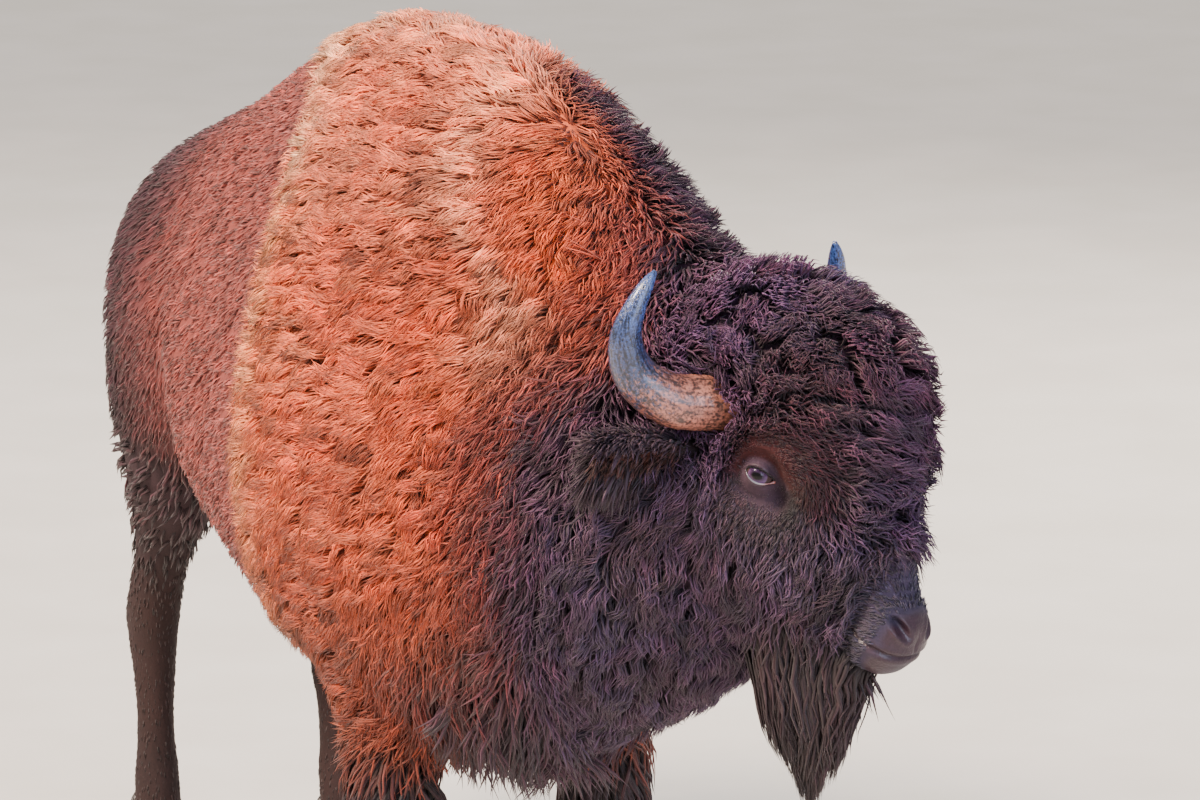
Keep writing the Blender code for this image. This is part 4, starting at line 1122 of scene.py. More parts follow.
def skin_material():
    """Bison hide under its hair, and bare, damp skin on the nose and lids: pebbled, its tone uneven in fine
    flecks.
    """
    material, tree, surface = new_material("hide_under_hair", IOR=1.45, Specular_IOR_Level=0.4)
    colour = add_node(tree, "ShaderNodeAttribute", {"attribute_name": "coat_colour"})
    bare = add_node(tree, "ShaderNodeAttribute", {"attribute_name": "bare_skin"}).outputs["Fac"]
    place = add_node(tree, "ShaderNodeTexCoord").outputs["Object"]
    # short hairs: 4 mm long streaks; pebbles of the nose skin: 3 mm across
    hairs = add_node(tree, "ShaderNodeTexNoise", {"Scale": 260.0, "Detail": 4.0}, {"Vector": place})
    pebbles = add_node(
        tree, "ShaderNodeTexVoronoi", {"Scale": 330.0, "feature": "SMOOTH_F1"}, {"Vector": place})
    height = add_node(tree, "ShaderNodeMix", {}, {"Factor": bare, "A": hairs, "B": pebbles})
    tone = add_node(
        tree, "ShaderNodeMapRange", {"From Min": 0.3, "From Max": 0.7, "To Min": 0.75, "To Max": 1.25},
        {"Value": hairs})
    shade = add_node(tree, "ShaderNodeVectorMath", {"operation": "SCALE"}, {"Vector": colour, "Scale": tone})
    damp = add_node(tree, "ShaderNodeMapRange", {"To Min": 0.85, "To Max": 0.34}, {"Value": bare})
    bump = add_node(tree, "ShaderNodeBump", {"Strength": 0.6, "Distance": 0.0012}, {"Height": height})
    connect(surface, {"Base Color": shade, "Roughness": damp, "Normal": bump})
    return material


def horn_material():
    """Horn sheath, keratin grown in rings: chalky and scuffed at its base, worn to a polish at its tip, whose
    dark keratin is painted blue as a reflection of the sky.
    """
    material, tree, surface = new_material("horn_sheath", IOR=1.54, Coat_Weight=0.6, Coat_Roughness=0.14)
    grain = add_node(tree, "ShaderNodeUVMap", {"uv_map": "grain"})
    along = add_node(tree, "ShaderNodeSeparateXYZ", {}, {"Vector": grain}).outputs["Y"]
    place = add_node(tree, "ShaderNodeTexCoord").outputs["Object"]
    # the tip, painted blue as a reflection of the sky, breaks into the brown base in 7 mm flakes; fibres lie
    # 6 mm apart, cracks 4 mm
    spots = add_node(
        tree, "ShaderNodeTexNoise", {"Scale": 150.0, "Detail": 6.0, "Roughness": 0.75}, {"Vector": place})
    shift = add_node(tree, "ShaderNodeMath", {"operation": "MULTIPLY_ADD", 1: 1.1, 2: -0.55}, {0: spots})
    reach = add_node(tree, "ShaderNodeMath", {"operation": "ADD"}, {0: along, 1: shift})
    # brown base, then dark keratin painted slate and blue from the middle to the tip: a painted reflection of
    # the sky, with a painted highlight
    stops = [(0.0, "#553429"), (0.14, "#975D49"), (0.38, "#8B5343"), (0.48, "#59454C"), (0.55, "#283048"),
             (0.78, "#263459"), (1.0, "#354E85")]
    colour = add_node(tree, "ShaderNodeValToRGB", {"stops": stops}, {"Fac": reach})
    stretch = add_node(tree, "ShaderNodeMapping", {"Scale": (44.0, 15.0, 1.0)}, {"Vector": grain})
    fibres = add_node(tree, "ShaderNodeTexNoise", {"Scale": 1.0, "Detail": 4.0}, {"Vector": stretch})
    cracks = add_node(tree, "ShaderNodeTexNoise", {"Scale": 230.0, "Detail": 5.0}, {"Vector": place})
    both = add_node(tree, "ShaderNodeMath", {"operation": "MULTIPLY"}, {0: fibres, 1: cracks})
    tone = add_node(
        tree, "ShaderNodeMapRange", {"From Min": 0.18, "From Max": 0.32, "To Min": 0.22, "To Max": 1.78},
        {"Value": both})
    shade = add_node(tree, "ShaderNodeVectorMath", {"operation": "SCALE"}, {"Vector": colour, "Scale": tone})
    gloss = add_node(
        tree, "ShaderNodeMapRange", {"From Min": 0.2, "From Max": 0.7, "To Min": 0.75, "To Max": 0.24},
        {"Value": along})
    bump = add_node(tree, "ShaderNodeBump", {"Strength": 1.0, "Distance": 0.0030}, {"Height": both})
    connect(surface, {"Base Color": shade, "Roughness": gloss, "Normal": bump})
    return material


def hoof_material():
    """Hoof wall, hard keratin: dark grey brown, fine upright fibres, dull with dust near the floor."""
    material, tree, surface = new_material("hoof_wall", IOR=1.54)
    place = add_node(tree, "ShaderNodeTexCoord").outputs["Object"]
    # horn tubules are 0.2 mm thick, too fine to show, so fibres 2.4 mm apart and 33 mm long stand for them
    stretch = add_node(tree, "ShaderNodeMapping", {"Scale": (420.0, 420.0, 30.0)}, {"Vector": place})
    fibres = add_node(tree, "ShaderNodeTexNoise", {"Scale": 1.0, "Detail": 3.0}, {"Vector": stretch})
    height = add_node(tree, "ShaderNodeSeparateXYZ", {}, {"Vector": place}).outputs["Z"]
    high = add_node(tree, "ShaderNodeMapRange", {"From Max": 0.08}, {"Value": height})
    stops = [(0.0, "#4C433C"), (0.25, "#302926"), (1.0, "#231E1D")]
    colour = add_node(tree, "ShaderNodeValToRGB", {"stops": stops}, {"Fac": high})
    tone = add_node(
        tree, "ShaderNodeMapRange", {"From Min": 0.3, "From Max": 0.7, "To Min": 0.75, "To Max": 1.25},
        {"Value": fibres})
    shade = add_node(tree, "ShaderNodeVectorMath", {"operation": "SCALE"}, {"Vector": colour, "Scale": tone})
    rough = add_node(tree, "ShaderNodeMapRange", {"To Min": 0.75, "To Max": 0.42}, {"Value": high})
    bump = add_node(tree, "ShaderNodeBump", {"Strength": 0.5, "Distance": 0.0006}, {"Height": fibres})
    connect(surface, {"Base Color": shade, "Roughness": rough, "Normal": bump})
    return material


def eye_material():
    """Eyeball: dark brown iris, painted violet as a reflection of the sky, round a level slot of a pupil, a
    brown rim of white, a wet clear cornea.
    """
    material, tree, surface = new_material(
        "wet_eye", Roughness=0.25, IOR=1.376, Coat_Weight=0.7, Coat_Roughness=0.03, Coat_IOR=1.33,
        Specular_IOR_Level=0.15)
    flat = add_node(tree, "ShaderNodeUVMap", {"uv_map": "iris"})  # 0 at the middle, 1 at the rim of the iris
    squeeze = add_node(tree, "ShaderNodeMapping", {"Scale": (0.62, 1.0, 1.0)}, {"Vector": flat})
    pupil = add_node(tree, "ShaderNodeVectorMath", {"operation": "LENGTH"}, {"Vector": squeeze})
    pupil = pupil.outputs["Value"]
    rim = add_node(tree, "ShaderNodeVectorMath", {"operation": "LENGTH"}, {"Vector": flat}).outputs["Value"]
    rays = add_node(tree, "ShaderNodeTexNoise", {"Scale": 9.0, "Detail": 4.0}, {"Vector": flat})
    wobble = add_node(tree, "ShaderNodeMath", {"operation": "MULTIPLY_ADD", 1: 0.16, 2: -0.08}, {0: rays})
    slot = add_node(tree, "ShaderNodeMath", {"operation": "ADD"}, {0: pupil, 1: wobble})
    # iris: dark brown with a painted violet reflection of the sky, lighter in a ring
    stops = [(0.0, "#060505"), (0.30, "#070505"), (0.40, "#37253A"), (0.75, "#67486F"), (0.95, "#110B09")]
    iris = add_node(tree, "ShaderNodeValToRGB", {"stops": stops}, {"Fac": slot})
    stops = [(0.0, "#000000"), (0.92, "#000000"), (1.0, "#FFFFFF")]
    white = add_node(tree, "ShaderNodeValToRGB", {"stops": stops}, {"Fac": rim})
    # 6, 7 and 2 are the colour sockets of a Mix node: A, B and the result
    ball = add_node(
        tree, "ShaderNodeMix", {"data_type": "RGBA", 7: (*linear("#3E302D"), 1.0)},
        {"Factor": white, 6: iris})
    connect(surface, {"Base Color": ball.outputs[2]})
    return material


def lid_rim_material():
    """Bare rim of the eyelid, wet and thin-skinned: pale blue grey, with pink in the front corner."""
    material, tree, surface = new_material("wet_lid_rim", Roughness=0.25, IOR=1.4, Coat_Weight=0.5)
    grain = add_node(tree, "ShaderNodeUVMap", {"uv_map": "grain"})
    along = add_node(tree, "ShaderNodeSeparateXYZ", {}, {"Vector": grain}).outputs["Y"]
    stops = [(0.0, "#231C1F"), (0.22, "#4F4D56"), (0.50, "#707279"), (0.78, "#966C66"), (1.0, "#844A44")]
    colour = add_node(tree, "ShaderNodeValToRGB", {"stops": stops}, {"Fac": along})
    place = add_node(tree, "ShaderNodeTexCoord").outputs["Object"]
    pores = add_node(tree, "ShaderNodeTexNoise", {"Scale": 700.0}, {"Vector": place})  # 1.4 mm apart
    bump = add_node(tree, "ShaderNodeBump", {"Strength": 0.3, "Distance": 0.0004}, {"Height": pores})
    connect(surface, {"Base Color": colour, "Normal": bump})
    return material


def floor_material():
    """Painted studio floor, matt emulsion: pale, uneven by a few tones over 300 mm, as a roller leaves it."""
    material, tree, surface = new_material("matt_floor_paint", Roughness=0.9)
    place = add_node(tree, "ShaderNodeTexCoord").outputs["Object"]
    roller = add_node(tree, "ShaderNodeTexNoise", {"Scale": 3.0, "Detail": 5.0}, {"Vector": place})
    stops = [(0.35, "#C0BEB9"), (0.65, "#C6C4C0")]
    colour = add_node(tree, "ShaderNodeValToRGB", {"stops": stops}, {"Fac": roller})
    connect(surface, {"Base Color": colour})
    return material


def tapering(rows, steps, segments, swell=None):
    """Rings round a smooth centre line through rows (x, y, z, radius), lifted by swell times the radius."""
    at = np.concatenate([[0], np.cumsum(np.linalg.norm(np.diff(np.array(rows)[:, :3], axis=0), axis=1))])
    rows = smooth_rows([(a, *r) for a, r in zip(at, rows)], steps)[:, 1:]
    line, radius = rows[:, :3], rows[:, 3]
    along = unit(np.gradient(line, axis=0))
    first = unit(np.cross(along, (0.12, 0.18, 0.97)))
    second = np.cross(along, first)
    angle = np.linspace(0, 2 * math.pi, segments, endpoint=False)
    share = np.linspace(0, 1, steps)
    if swell is not None:
        radius = radius[:, None] * (1 + swell(share[:, None], angle[None, :]))
    else:
        radius = np.broadcast_to(radius[:, None], (steps, segments))
    turn = np.cos(angle)[None, :, None] * first[:, None] + np.sin(angle)[None, :, None] * second[:, None]
    return line[:, None] + radius[..., None] * turn


# ---- the skin as a piece ----
NOSE_SKIN = "#33222A"
SKIN_NODES = (
    "head", "muzzle", "beard", "neck", "shoulders", "barrel", "hindquarters",
    *(f"{end}_{part}_{side}"
      for end in ("foreleg", "hind_leg") for part in ("upper", "lower") for side in SIDES),
)


def bare_share(points):
    """Where the skin shows: nose pad, lips, inside the nostrils, and the rims of the lids."""
    x, y, z = to_head(points).T
    nose = step(x, 0.488, 0.503) * step(-np.abs(y), -0.066, -0.052) * step(-z, 0.060, 0.078)
    lip = step(x, 0.40, 0.43) * hill((z - mouth_line(x)) / 0.012)
    bare = np.maximum(nose, lip)
    for side in SIDES:
        along, up, _ = eye_axes(side)
        local = points - from_head(on_side(EYE, side))
        near = np.linalg.norm(local, axis=1) < 0.05
        bare = np.maximum(bare, near * (1 - step(opening_gap(local @ along, local @ up), 0.0030, 0.0060)))
    return bare


def make_skin():
    """The hide, painted as the coat over it, and bare on nose and lids."""
    mesh = build_skin_mesh()
    unwrap(mesh, "OFBake")
    points = coordinates(mesh)
    shares = coat_shares(points)
    root, tip = coat_colours(points, shares)
    bare = bare_share(points)
    under = root + (tip - root) * (0.25 + 0.35 * shares[:, NAMES.index("cape")])[:, None]
    short = step(-coat_value(shares, "depth"), -0.012, -0.004)[:, None]
    under = under + (0.85 * tip - under) * short
    paint = under + (linear(NOSE_SKIN) - under) * bare[:, None]
    paint_points(mesh, paint)
    mesh.attributes.new("bare_skin", "FLOAT", "POINT").data.foreach_set("value", bare.astype(np.float32))
    set_coordinates(mesh, points + SHIFT)
    mesh.materials.clear()
    mesh.name = "bison_skin"
    skin = place_piece("bison_skin", mesh, skin_material())
    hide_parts(*SKIN_NODES)


def skin_ground():
    """The finished skin as ground for locks."""
    return ground_of(bpy.data.objects["bison_skin"].data, "OFBake")


def hide():
    """The skin's material, which ears, tail and upper lids share."""
    return bpy.data.objects["bison_skin"].data.materials[0]


def on_right(points):
    """1 right of the spine line and 0 left of it, so that two pieces part there with no gap."""
    return (spine_place(points)[1] < 0).astype(float)


def on_left(points):
    """1 left of the spine line and 0 right of it."""
    return 1 - on_right(points)


def on_right_upper(points):
    """1 on the right above the middle of the cape."""
    return on_right(points) * (points[:, 2] > CAPE_MIDDLE)


def on_right_lower(points):
    """1 on the right below the middle of the cape."""
    return on_right(points) * (points[:, 2] <= CAPE_MIDDLE)


# ---- long hair ----
CHIN = np.array((0.455, 0.0, -0.215))
BEARD_BACK = 0.09  # how far the beard's middle lies behind the chin
# The beard's level ovals: height from the chin, half length and half width.
BEARD = [
    (0.08, 0.130, 0.080),
    (-0.02, 0.132, 0.080),
    (-0.11, 0.112, 0.068),
    (-0.19, 0.080, 0.050),
    (-0.255, 0.046, 0.031),
    (-0.295, 0.018, 0.014),
]


def beard_lines(rings, most, seed):
    """Locks that hang from the chin: each keeps its place in level ovals that narrow to the beard's point."""
    ground = skin_ground()
    q = to_head(ground["points"])
    wanted = step(q[:, 0], 0.26, 0.31) * step(-q[:, 2], 0.185, 0.215) * (np.abs(q[:, 1]) < 0.075)
    wanted = wanted * (1 - step(q[:, 0], 0.478, 0.492))
    roots = scatter(ground, wanted * 1e6, most, seed)
    rng = np.random.default_rng(seed)
    count = len(roots["points"])
    chin = from_head(CHIN)
    facing = np.array(Matrix.Rotation(HEAD_YAW, 3, "Z"))
    local = (roots["points"] - chin) @ facing
    near = np.hypot((local[:, 0] + BEARD_BACK) / 0.150, local[:, 1] / 0.085) < 1.0
    roots, local, count = keep(roots, near), local[near], near.sum()
    table = np.array(BEARD)[::-1]
    offset = np.stack([(local[:, 0] + BEARD_BACK) / 0.125, local[:, 1] / 0.075], 1)
    far = np.linalg.norm(offset, axis=1, keepdims=True)
    offset = offset / np.maximum(far, 1) * rng.uniform(0.75, 1.0, (count, 1))
    far = np.minimum(far[:, 0], 1)
    lowest = -0.285 + 0.16 * far**2 * rng.uniform(0.5, 1.3, count) + 0.05 * rng.random(count)
    t = np.linspace(0, 1, rings + 1)[None, :]
    height = local[:, 2, None] + (lowest - local[:, 2])[:, None] * t
    shape = np.stack([np.interp(height, table[:, 0], table[:, k]) for k in (1, 2)], -1)
    hung = offset[:, None] * shape * 0.92 + np.array((-BEARD_BACK, 0.0))
    join = step(t, 0.0, 0.35)[..., None]
    plan = local[:, None, :2] * (1 - join) + hung * join
    line = np.concatenate([plan, height[..., None]], -1) @ facing.T + chin
    return roots, line


def long_locks(name, roots, line, width, colours, seed, material,
               waves=1.6, swing=0.010, pull=0.35, clump=0.035):
    """Long locks along ready lines, waved, drawn together in clumps, as one piece."""
    rng = np.random.default_rng(seed)
    count, places, _ = line.shape
    t = np.linspace(0, 1, places)[None, :, None]
    clump, _, clumps = clumps_of(line[:, 0], np.full(count, clump), seed)
    members = np.bincount(clump, minlength=clumps)
    tips = np.stack([np.bincount(clump, line[:, -1, k], clumps) / members for k in range(3)], 1)
    line = line + (tips[clump] - line[:, -1])[:, None] * pull * t**1.5
    out = unit(line[:, 0] - line[:, 0].mean(0) + 1e-6)
    wide, _ = lock_axes(line, out, 1e-6)
    phase = (rng.uniform(0, 2 * math.pi, clumps)[clump] + rng.normal(0, 0.6, count))[:, None, None]
    turns = rng.uniform(0.8, 1.25, clumps)[clump][:, None, None] * waves
    line = line + wide * (np.sin(2 * math.pi * turns * t + phase) - np.sin(phase) * (1 - t)) * swing * t**0.5
    wide, thick = lock_axes(line, out, 1e-6)
    half = (width * rng.uniform(0.6, 1.25, count))[:, None, None] / 2
    tone = np.clip(rng.normal(1, 0.14, count) * rng.normal(1, 0.10, clumps)[clump], 0.5, 1.5)
    length = np.linalg.norm(np.diff(line, axis=1), axis=2).sum(1)
    points, faces, uvs, shade = lock_mesh(
        line, wide * half, thick * half, tone, colours, roots["unwrap"], length)
    return make_piece(name, points, faces, material, uvs, shade)


def flat_colours(count, root, tip):
    """The same root and tip colour for every lock."""
    return np.tile(linear(root), (count, 1)), np.tile(linear(tip), (count, 1))


# ---- pieces that aren't hair ----
def outward(obj):
    """Turns a closed surface's faces out if they point in."""
    work = bmesh.new()
    work.from_mesh(obj.data)
    if work.calc_volume(signed=True) < 0:
        bmesh.ops.reverse_faces(work, faces=work.faces[:])
        work.to_mesh(obj.data)
    work.free()


def tube_piece(name, rings, material, map_name=None, colours=None):
    """A closed piece through rings, facing out, with a UV map along and around it and one or many colours."""
    points, faces = tube(rings)
    maps = [(map_name, tube_uv(*rings.shape[:2]))] if map_name else []
    if colours is not None:
        colours = np.broadcast_to(colours, points.shape)
    piece = make_piece(name, points, faces, material, maps, colours)
    outward(piece)
    return piece


def make_horn(side, material):
    """Round rings along the horn's curve; growth ridges stand on the base half, fine grooves run along it."""

    def swell(share, angle):
        """Share of the radius that stands over it."""
        uneven = np.sin(5 * share + 2 * np.sin(angle)) * np.sin(3 * angle + 11 * share)
        turns = share * 21 + 0.5 * np.sin(9 * share)
        ridges = 0.012 * np.sin(2 * math.pi * turns + uneven) * (0.5 + 0.5 * uneven)
        ridges = ridges * (1 - step(share, 0.22, 0.50))
        lumps = 0.030 * np.sin(2 * angle + 6 * share) * (1 - step(share, 0.1, 0.6))
        lumps = lumps + 0.05 * hill(share / 0.10)
        grooves = 0.008 * np.sin(19 * angle + 4 * np.sin(6 * share)) * (1 - step(share, 0.4, 0.7))
        return (ridges + lumps + grooves - 0.02) * bpy.context.scene.bison_form.horn_relief

    rows = [(*on_side(row[:3], side), row[3]) for row in HORN]
    horn = tube_piece(f"horn_sheath_{side}", from_head(tapering(rows, 110, 48, swell)), material, "grain")
    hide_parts(f"horn_{side}")


def make_eye(side, ball_material, rim_material, lash_material):
    """Ball by angle from its axis and round it, with the cornea as a low Gaussian dome; rims; lashes."""
    along, up, out = eye_axes(side)
    middle = from_head(on_side(EYE, side))
    radius = EYE_RADIUS - 0.0004
    tilt = np.linspace(0.02, math.pi - 0.02, 48)[:, None]
    turn = np.linspace(0, 2 * math.pi, 64, endpoint=False)[None, :]
    reach = radius + bpy.context.scene.bison_form.cornea * np.exp(-((tilt / 0.52) ** 4))
    away = np.cos(tilt)[..., None] * out + (
        np.sin(tilt)[..., None] * (np.cos(turn)[..., None] * along + np.sin(turn)[..., None] * up))
    points, faces = tube(middle + away * reach[..., None])
    flat = points - middle
    iris = np.stack([flat @ along, flat @ up], 1) / 0.0165
    corners = np.concatenate([f.ravel() for f in faces])
    ball = make_piece(f"eyeball_{side}", points, faces, ball_material, [("iris", iris[corners])])
    outward(ball)
    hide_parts(f"eye_{side}")
    # rims: along the opening's edge, from the back corner to the front one
    share = np.linspace(0, 1, 40)
    a = -OPENING_BACK + (OPENING_BACK + OPENING_FRONT) * share
    left, upper, lower = lid_edge(a)
    for name, b, thickness in (
        ("lower", lower, 0.0008 + 0.0009 * left + 0.0016 * step(share, 0.88, 0.97)),
        ("upper", upper, 0.0011 + 0.0010 * left),
    ):
        far = np.hypot(a, b)
        c = over_ball(far) + 0.0014
        rows = np.column_stack([middle + a[:, None] * along + b[:, None] * up + c[:, None] * out, thickness])
        rim = tube_piece(
            f"lid_rim_{name}_{side}", tapering(rows, 60, 12), rim_material[name], "grain", linear("#221A1D"))
    # lashes along the upper rim
    count = 70
    rng = np.random.default_rng(5)
    share = np.linspace(0.10, 0.93, count) + rng.normal(0, 0.004, count)
    a = -OPENING_BACK + (OPENING_BACK + OPENING_FRONT) * share
    _, upper, _ = lid_edge(a)
    b = upper + 0.0012
    c = np.sqrt(np.maximum(EYE_RADIUS**2 - a**2 - b**2, 0)) + 0.0022
    root = middle + a[:, None] * along + b[:, None] * up + c[:, None] * out
    t = np.linspace(0, 1, 4)[None, :, None]
    length = rng.uniform(0.010, 0.015, count)[:, None, None]
    fan = out[None] * 0.85 + along[None] * (a[:, None] / 0.03) * 0.5 - up[None] * 0.25
    fan = fan + rng.normal(0, 0.08, (count, 3))
    line = root[:, None] + unit(fan)[:, None] * length * t + up * length * 0.35 * t**2
    roots = {"unwrap": np.tile((0.5, 0.5), (count, 1))}
    lashes = long_locks(f"lashes_{side}", roots, line, 0.0011, flat_colours(count, "#0E0808", "#1D1414"), 7,
                        lash_material, swing=0.0, pull=0.0)


def ear_place(share, angle, side):
    """Point on the ear: oval rings from root to tip, bent by a parabola round the hollow."""
    rows = smooth_rows(EAR, 40)
    half, thick, hollow = (np.interp(share, rows[:, 0], rows[:, k]) for k in (1, 2, 3))
    across = half * np.cos(angle)
    through = thick * np.sin(angle) - hollow * (1 - np.cos(angle) ** 2)
    root, tip = on_side(EAR_ROOT, side), on_side(EAR_TIP, side)
    line = tip - root
    faces = on_side(EAR_FACES, side)
    faces = unit(faces - line * (faces @ line) / (line @ line))
    wide = unit(np.cross(faces, line))
    return from_head(root + share[..., None] * line + across[..., None] * wide + through[..., None] * faces)


def make_ear(side, skin, hair):
    """The ear's leaf with short hair outside, a reddish hollow, and a fringe of long hair round its edge."""
    share = np.linspace(0, 0.80, 44)[:, None] + np.zeros((1, 48))
    angle = np.linspace(0, 2 * math.pi, 48, endpoint=False)[None, :] + np.zeros((44, 1))
    rings = ear_place(share, angle, side)
    rings = rings.mean(1, keepdims=True) + (rings - rings.mean(1, keepdims=True)) * 0.82 * (
        np.sqrt(1 - (share / 0.83) ** 6)[..., None])
    inside = np.concatenate([step(np.sin(angle), 0.1, 0.6).ravel(), [0, 0]])[:, None]
    share_of = np.concatenate([share.ravel(), [0, 1]])
    dark, red = linear("#1E1113"), linear("#3C1B16")
    shade = dark + (red - dark) * inside * step(share_of, 0.15, 0.4)[:, None]
    ear = tube_piece(f"ear_skin_{side}", rings, skin, "OFBake", shade)
    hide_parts(f"ear_{side}")
    rng = np.random.default_rng(21)
    count = 1850
    share = 0.80 * np.sqrt(rng.uniform(0.02, 1.0, count))
    angle = rng.uniform(0, 2 * math.pi, count)
    edge = rng.random(count) < 0.45
    angle = np.where(edge, rng.choice([0, math.pi], count) + rng.normal(0, 0.35, count), angle)
    root = ear_place(share, angle, side)
    middle = ear_place(share, np.full(count, math.pi / 2), side) * 0.5 + ear_place(
        share, np.full(count, 1.5 * math.pi), side) * 0.5
    root = middle + (root - middle) * 0.80
    out = unit(root - middle)
    tipward = unit(ear_place(np.ones(1), np.zeros(1), side) - ear_place(np.zeros(1), np.zeros(1), side))
    inner = (np.sin(angle) > 0.25) & ~edge
    fringe = rng.uniform(0.040, 0.075, count)
    length = np.where(edge, fringe, np.where(inner, 0.024, 0.050) * rng.uniform(0.7, 1.2, count))
    t = np.linspace(0, 1, 4)[None, :, None]
    way = tipward * 0.6 + out * np.where(edge, 0.9, 0.55)[:, None] + DOWN * 0.20
    way = unit(way + rng.normal(0, 0.26, (count, 3)))
    sag = DOWN * (length * 0.25)[:, None, None] * t**2
    line = root[:, None] + way[:, None] * length[:, None, None] * t + sag
    dark, tip = flat_colours(count, "#150A0E", "#382430")
    red = np.tile(linear("#43201D"), (count, 1))
    tip = np.where(inner[:, None], red, tip)
    roots = {"unwrap": np.stack([angle / (2 * math.pi) % 1, share], 1)}
    piece = long_locks(f"ear_hair_{side}", roots, line, 0.0062, (dark, tip), 23, hair,
                       swing=0.0012, pull=0.15, clump=0.012)


def make_tail(skin, hair):
    """The tail's skin, the short hair that runs down it, and the tassel's long locks."""
    rows = [(*row[:3], row[3] * 0.78) for row in TAIL]
    rings = tapering(rows, 90, 24)
    brown = np.array(bpy.context.scene.bison_coat.rump[:3])
    core = tube_piece("tail_skin", rings, skin, "OFBake", brown * 0.7)
    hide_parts("tail")
    rng = np.random.default_rng(41)
    count = 1100
    share, angle = rng.uniform(0.0, 0.97, count), rng.integers(0, 24, count)
    last = len(rings) - 2
    ring = share * last
    low = ring.astype(int)
    part = (ring - low)[:, None]
    root = rings[low, angle] * (1 - part) + rings[low + 1, angle] * part
    centre = rings.mean(1)
    out = unit(root - centre[low])
    way = unit(centre[low + 1] - centre[low])
    t = np.linspace(0, 1, 4)[None, :, None]
    length = 0.030 + 0.035 * step(share, 0.35, 0.8)
    length = (length * rng.uniform(0.7, 1.1, count))[:, None, None]
    line = root[:, None] + length * (t * way[:, None] + 0.20 * out[:, None] * (t - 0.5 * t**2))
    tone = np.tile(brown, (count, 1)) * (1 - 0.45 * share[:, None])
    piece = long_locks("tail_hair", {"unwrap": np.stack([angle / 24, share], 1)}, line, 0.0062,
                       (tone * 0.55, tone * 1.15), 43, hair, swing=0.0015, pull=0.2, clump=0.015)
    count = 640
    share, angle = rng.uniform(0.66, 1.0, count) ** 0.8, rng.uniform(0, 2 * math.pi, count)
    low = np.minimum((share * last).astype(int), last)
    root = centre[low]
    t = np.linspace(0, 1, 8)[None, :, None]
    bulge = 0.036 * np.sqrt(rng.random(count))[:, None, None]
    end = 0.60 + 0.20 * rng.random(count) ** 1.6
    round_way = np.stack([np.cos(angle), np.sin(angle), 0 * angle], 1)[:, None]
    drop = (root[:, 2] - end)[:, None, None]
    belly = np.sin(math.pi * np.clip(t * 1.05, 0, 1) ** 0.7)
    line = root[:, None] + DOWN * drop * t + round_way * bulge * belly
    piece = long_locks("tail_tassel_hair", {"unwrap": np.stack([angle / 6.3, share], 1)}, line, 0.0085,
                       flat_colours(count, "#100908", "#32211D"), 47, hair,
                       swing=0.006, pull=0.25, clump=0.03)
    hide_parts("tail_tassel")


def make_hoof(end, side, claw, letter, material):
    """Level rings of a claw's outline, blunt behind and pointed ahead; growth ridges cross it as a sine."""
    share = np.concatenate([[0.0, 0.012], np.linspace(0.05, 1, 36)])
    table = np.array(CLAW)
    ahead, back, half = (np.interp(share, table[:, 0], table[:, k])[:, None] for k in (1, 2, 3))
    angle = np.linspace(0, 2 * math.pi, 64, endpoint=False)[None, :]
    reach = np.where(np.cos(angle) > 0, ahead, back)
    power = np.where(np.cos(angle) > 0, CLAW_POINT, CLAW_HEEL)
    size = oval(np.cos(angle), np.sin(angle), power)
    height = share[:, None]
    wave = np.sin(2 * math.pi * (height * 8 + 0.15 * np.cos(angle)))
    ridge = 1 - 0.012 - 0.010 * wave * step(height, 0.05, 0.15)
    ridge = ridge * (1 - 0.035 * (1 - step(height, 0.0, 0.03)))
    leg, place, spread = LEGS[end]
    x = place + SOLE_AHEAD[end] + leg_swing(end, side, CORONET_HEIGHT)
    y = SIDES[side] * spread + claw * CLAW_OFFSET
    rings = np.stack([x + reach * size * np.cos(angle) * ridge, y + half * size * np.sin(angle) * ridge,
                      height * (CORONET_HEIGHT + 0.004) * np.ones_like(angle)], -1)
    hoof = tube_piece(f"claw_{end}_{side}_{letter}", rings, material)
    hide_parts(f"hoof_{end}_{side}_{letter}")
    heel = np.interp(-DEWCLAW_HEIGHT, [-row[0] for row in leg], [row[1] - row[2] for row in leg])
    x = place + heel + leg_swing(end, side, DEWCLAW_HEIGHT)
    y = SIDES[side] * spread + claw * DEWCLAW_OFFSET
    rows = [(x + ahead, y, DEWCLAW_HEIGHT + up, radius) for ahead, up, radius in DEWCLAW]
    spur = tube_piece(f"spur_{end}_{side}_{letter}", tapering(rows, 24, 24), material)
    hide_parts(f"dewclaw_{end}_{side}_{letter}")


# ---- settings ----
def tint(name, description, colour):
    """A colour property with this sRGB default."""
    return FloatVectorProperty(name=name, description=description, default=linear(colour), subtype="COLOR")


class BisonCoat(PropertyGroup):
    """Length and colours of the winter coat."""

    length: FloatProperty(name="Lock length", description="Length of the locks, as a share of their own",
                          default=1.0, min=0.7, max=1.2, subtype="FACTOR")
    cape: tint("Cape", "Woolly cape over the hump", "#D26742")
    # painted highlight: colour of the cape's lit rear edge and of the lit fold over the right shoulder
    cape_rim: tint("Cape rim", "Rear edge of the cape", "#DA8C69")
    cape_front: tint("Cape front", "Rusty front of the cape", "#C44F1F")
    flank: tint("Flank", "Plush hair of the loin", "#93463E")
    rump: tint("Rump", "Hindquarters", "#41212A")
    dark: tint("Mane", "Mane and crest", "#37172A")
    wool: tint("Bonnet", "Wool between the horns", "#482945")
    cheek: tint("Cheek", "Cheek and jaw", "#3A2538")
    brow: tint("Brow", "Short hair above the eye", "#3A0F0F")
    lid: tint("Lids", "Thin hair of the lids and under the eye", "#583E4B")
    nose: tint("Muzzle", "Short hair of the muzzle", "#352B3C")
    beard: tint("Beard", "Beard, throat and chaps", "#271419")
    shank: tint("Shanks", "Short hair of the lower legs", "#291817")


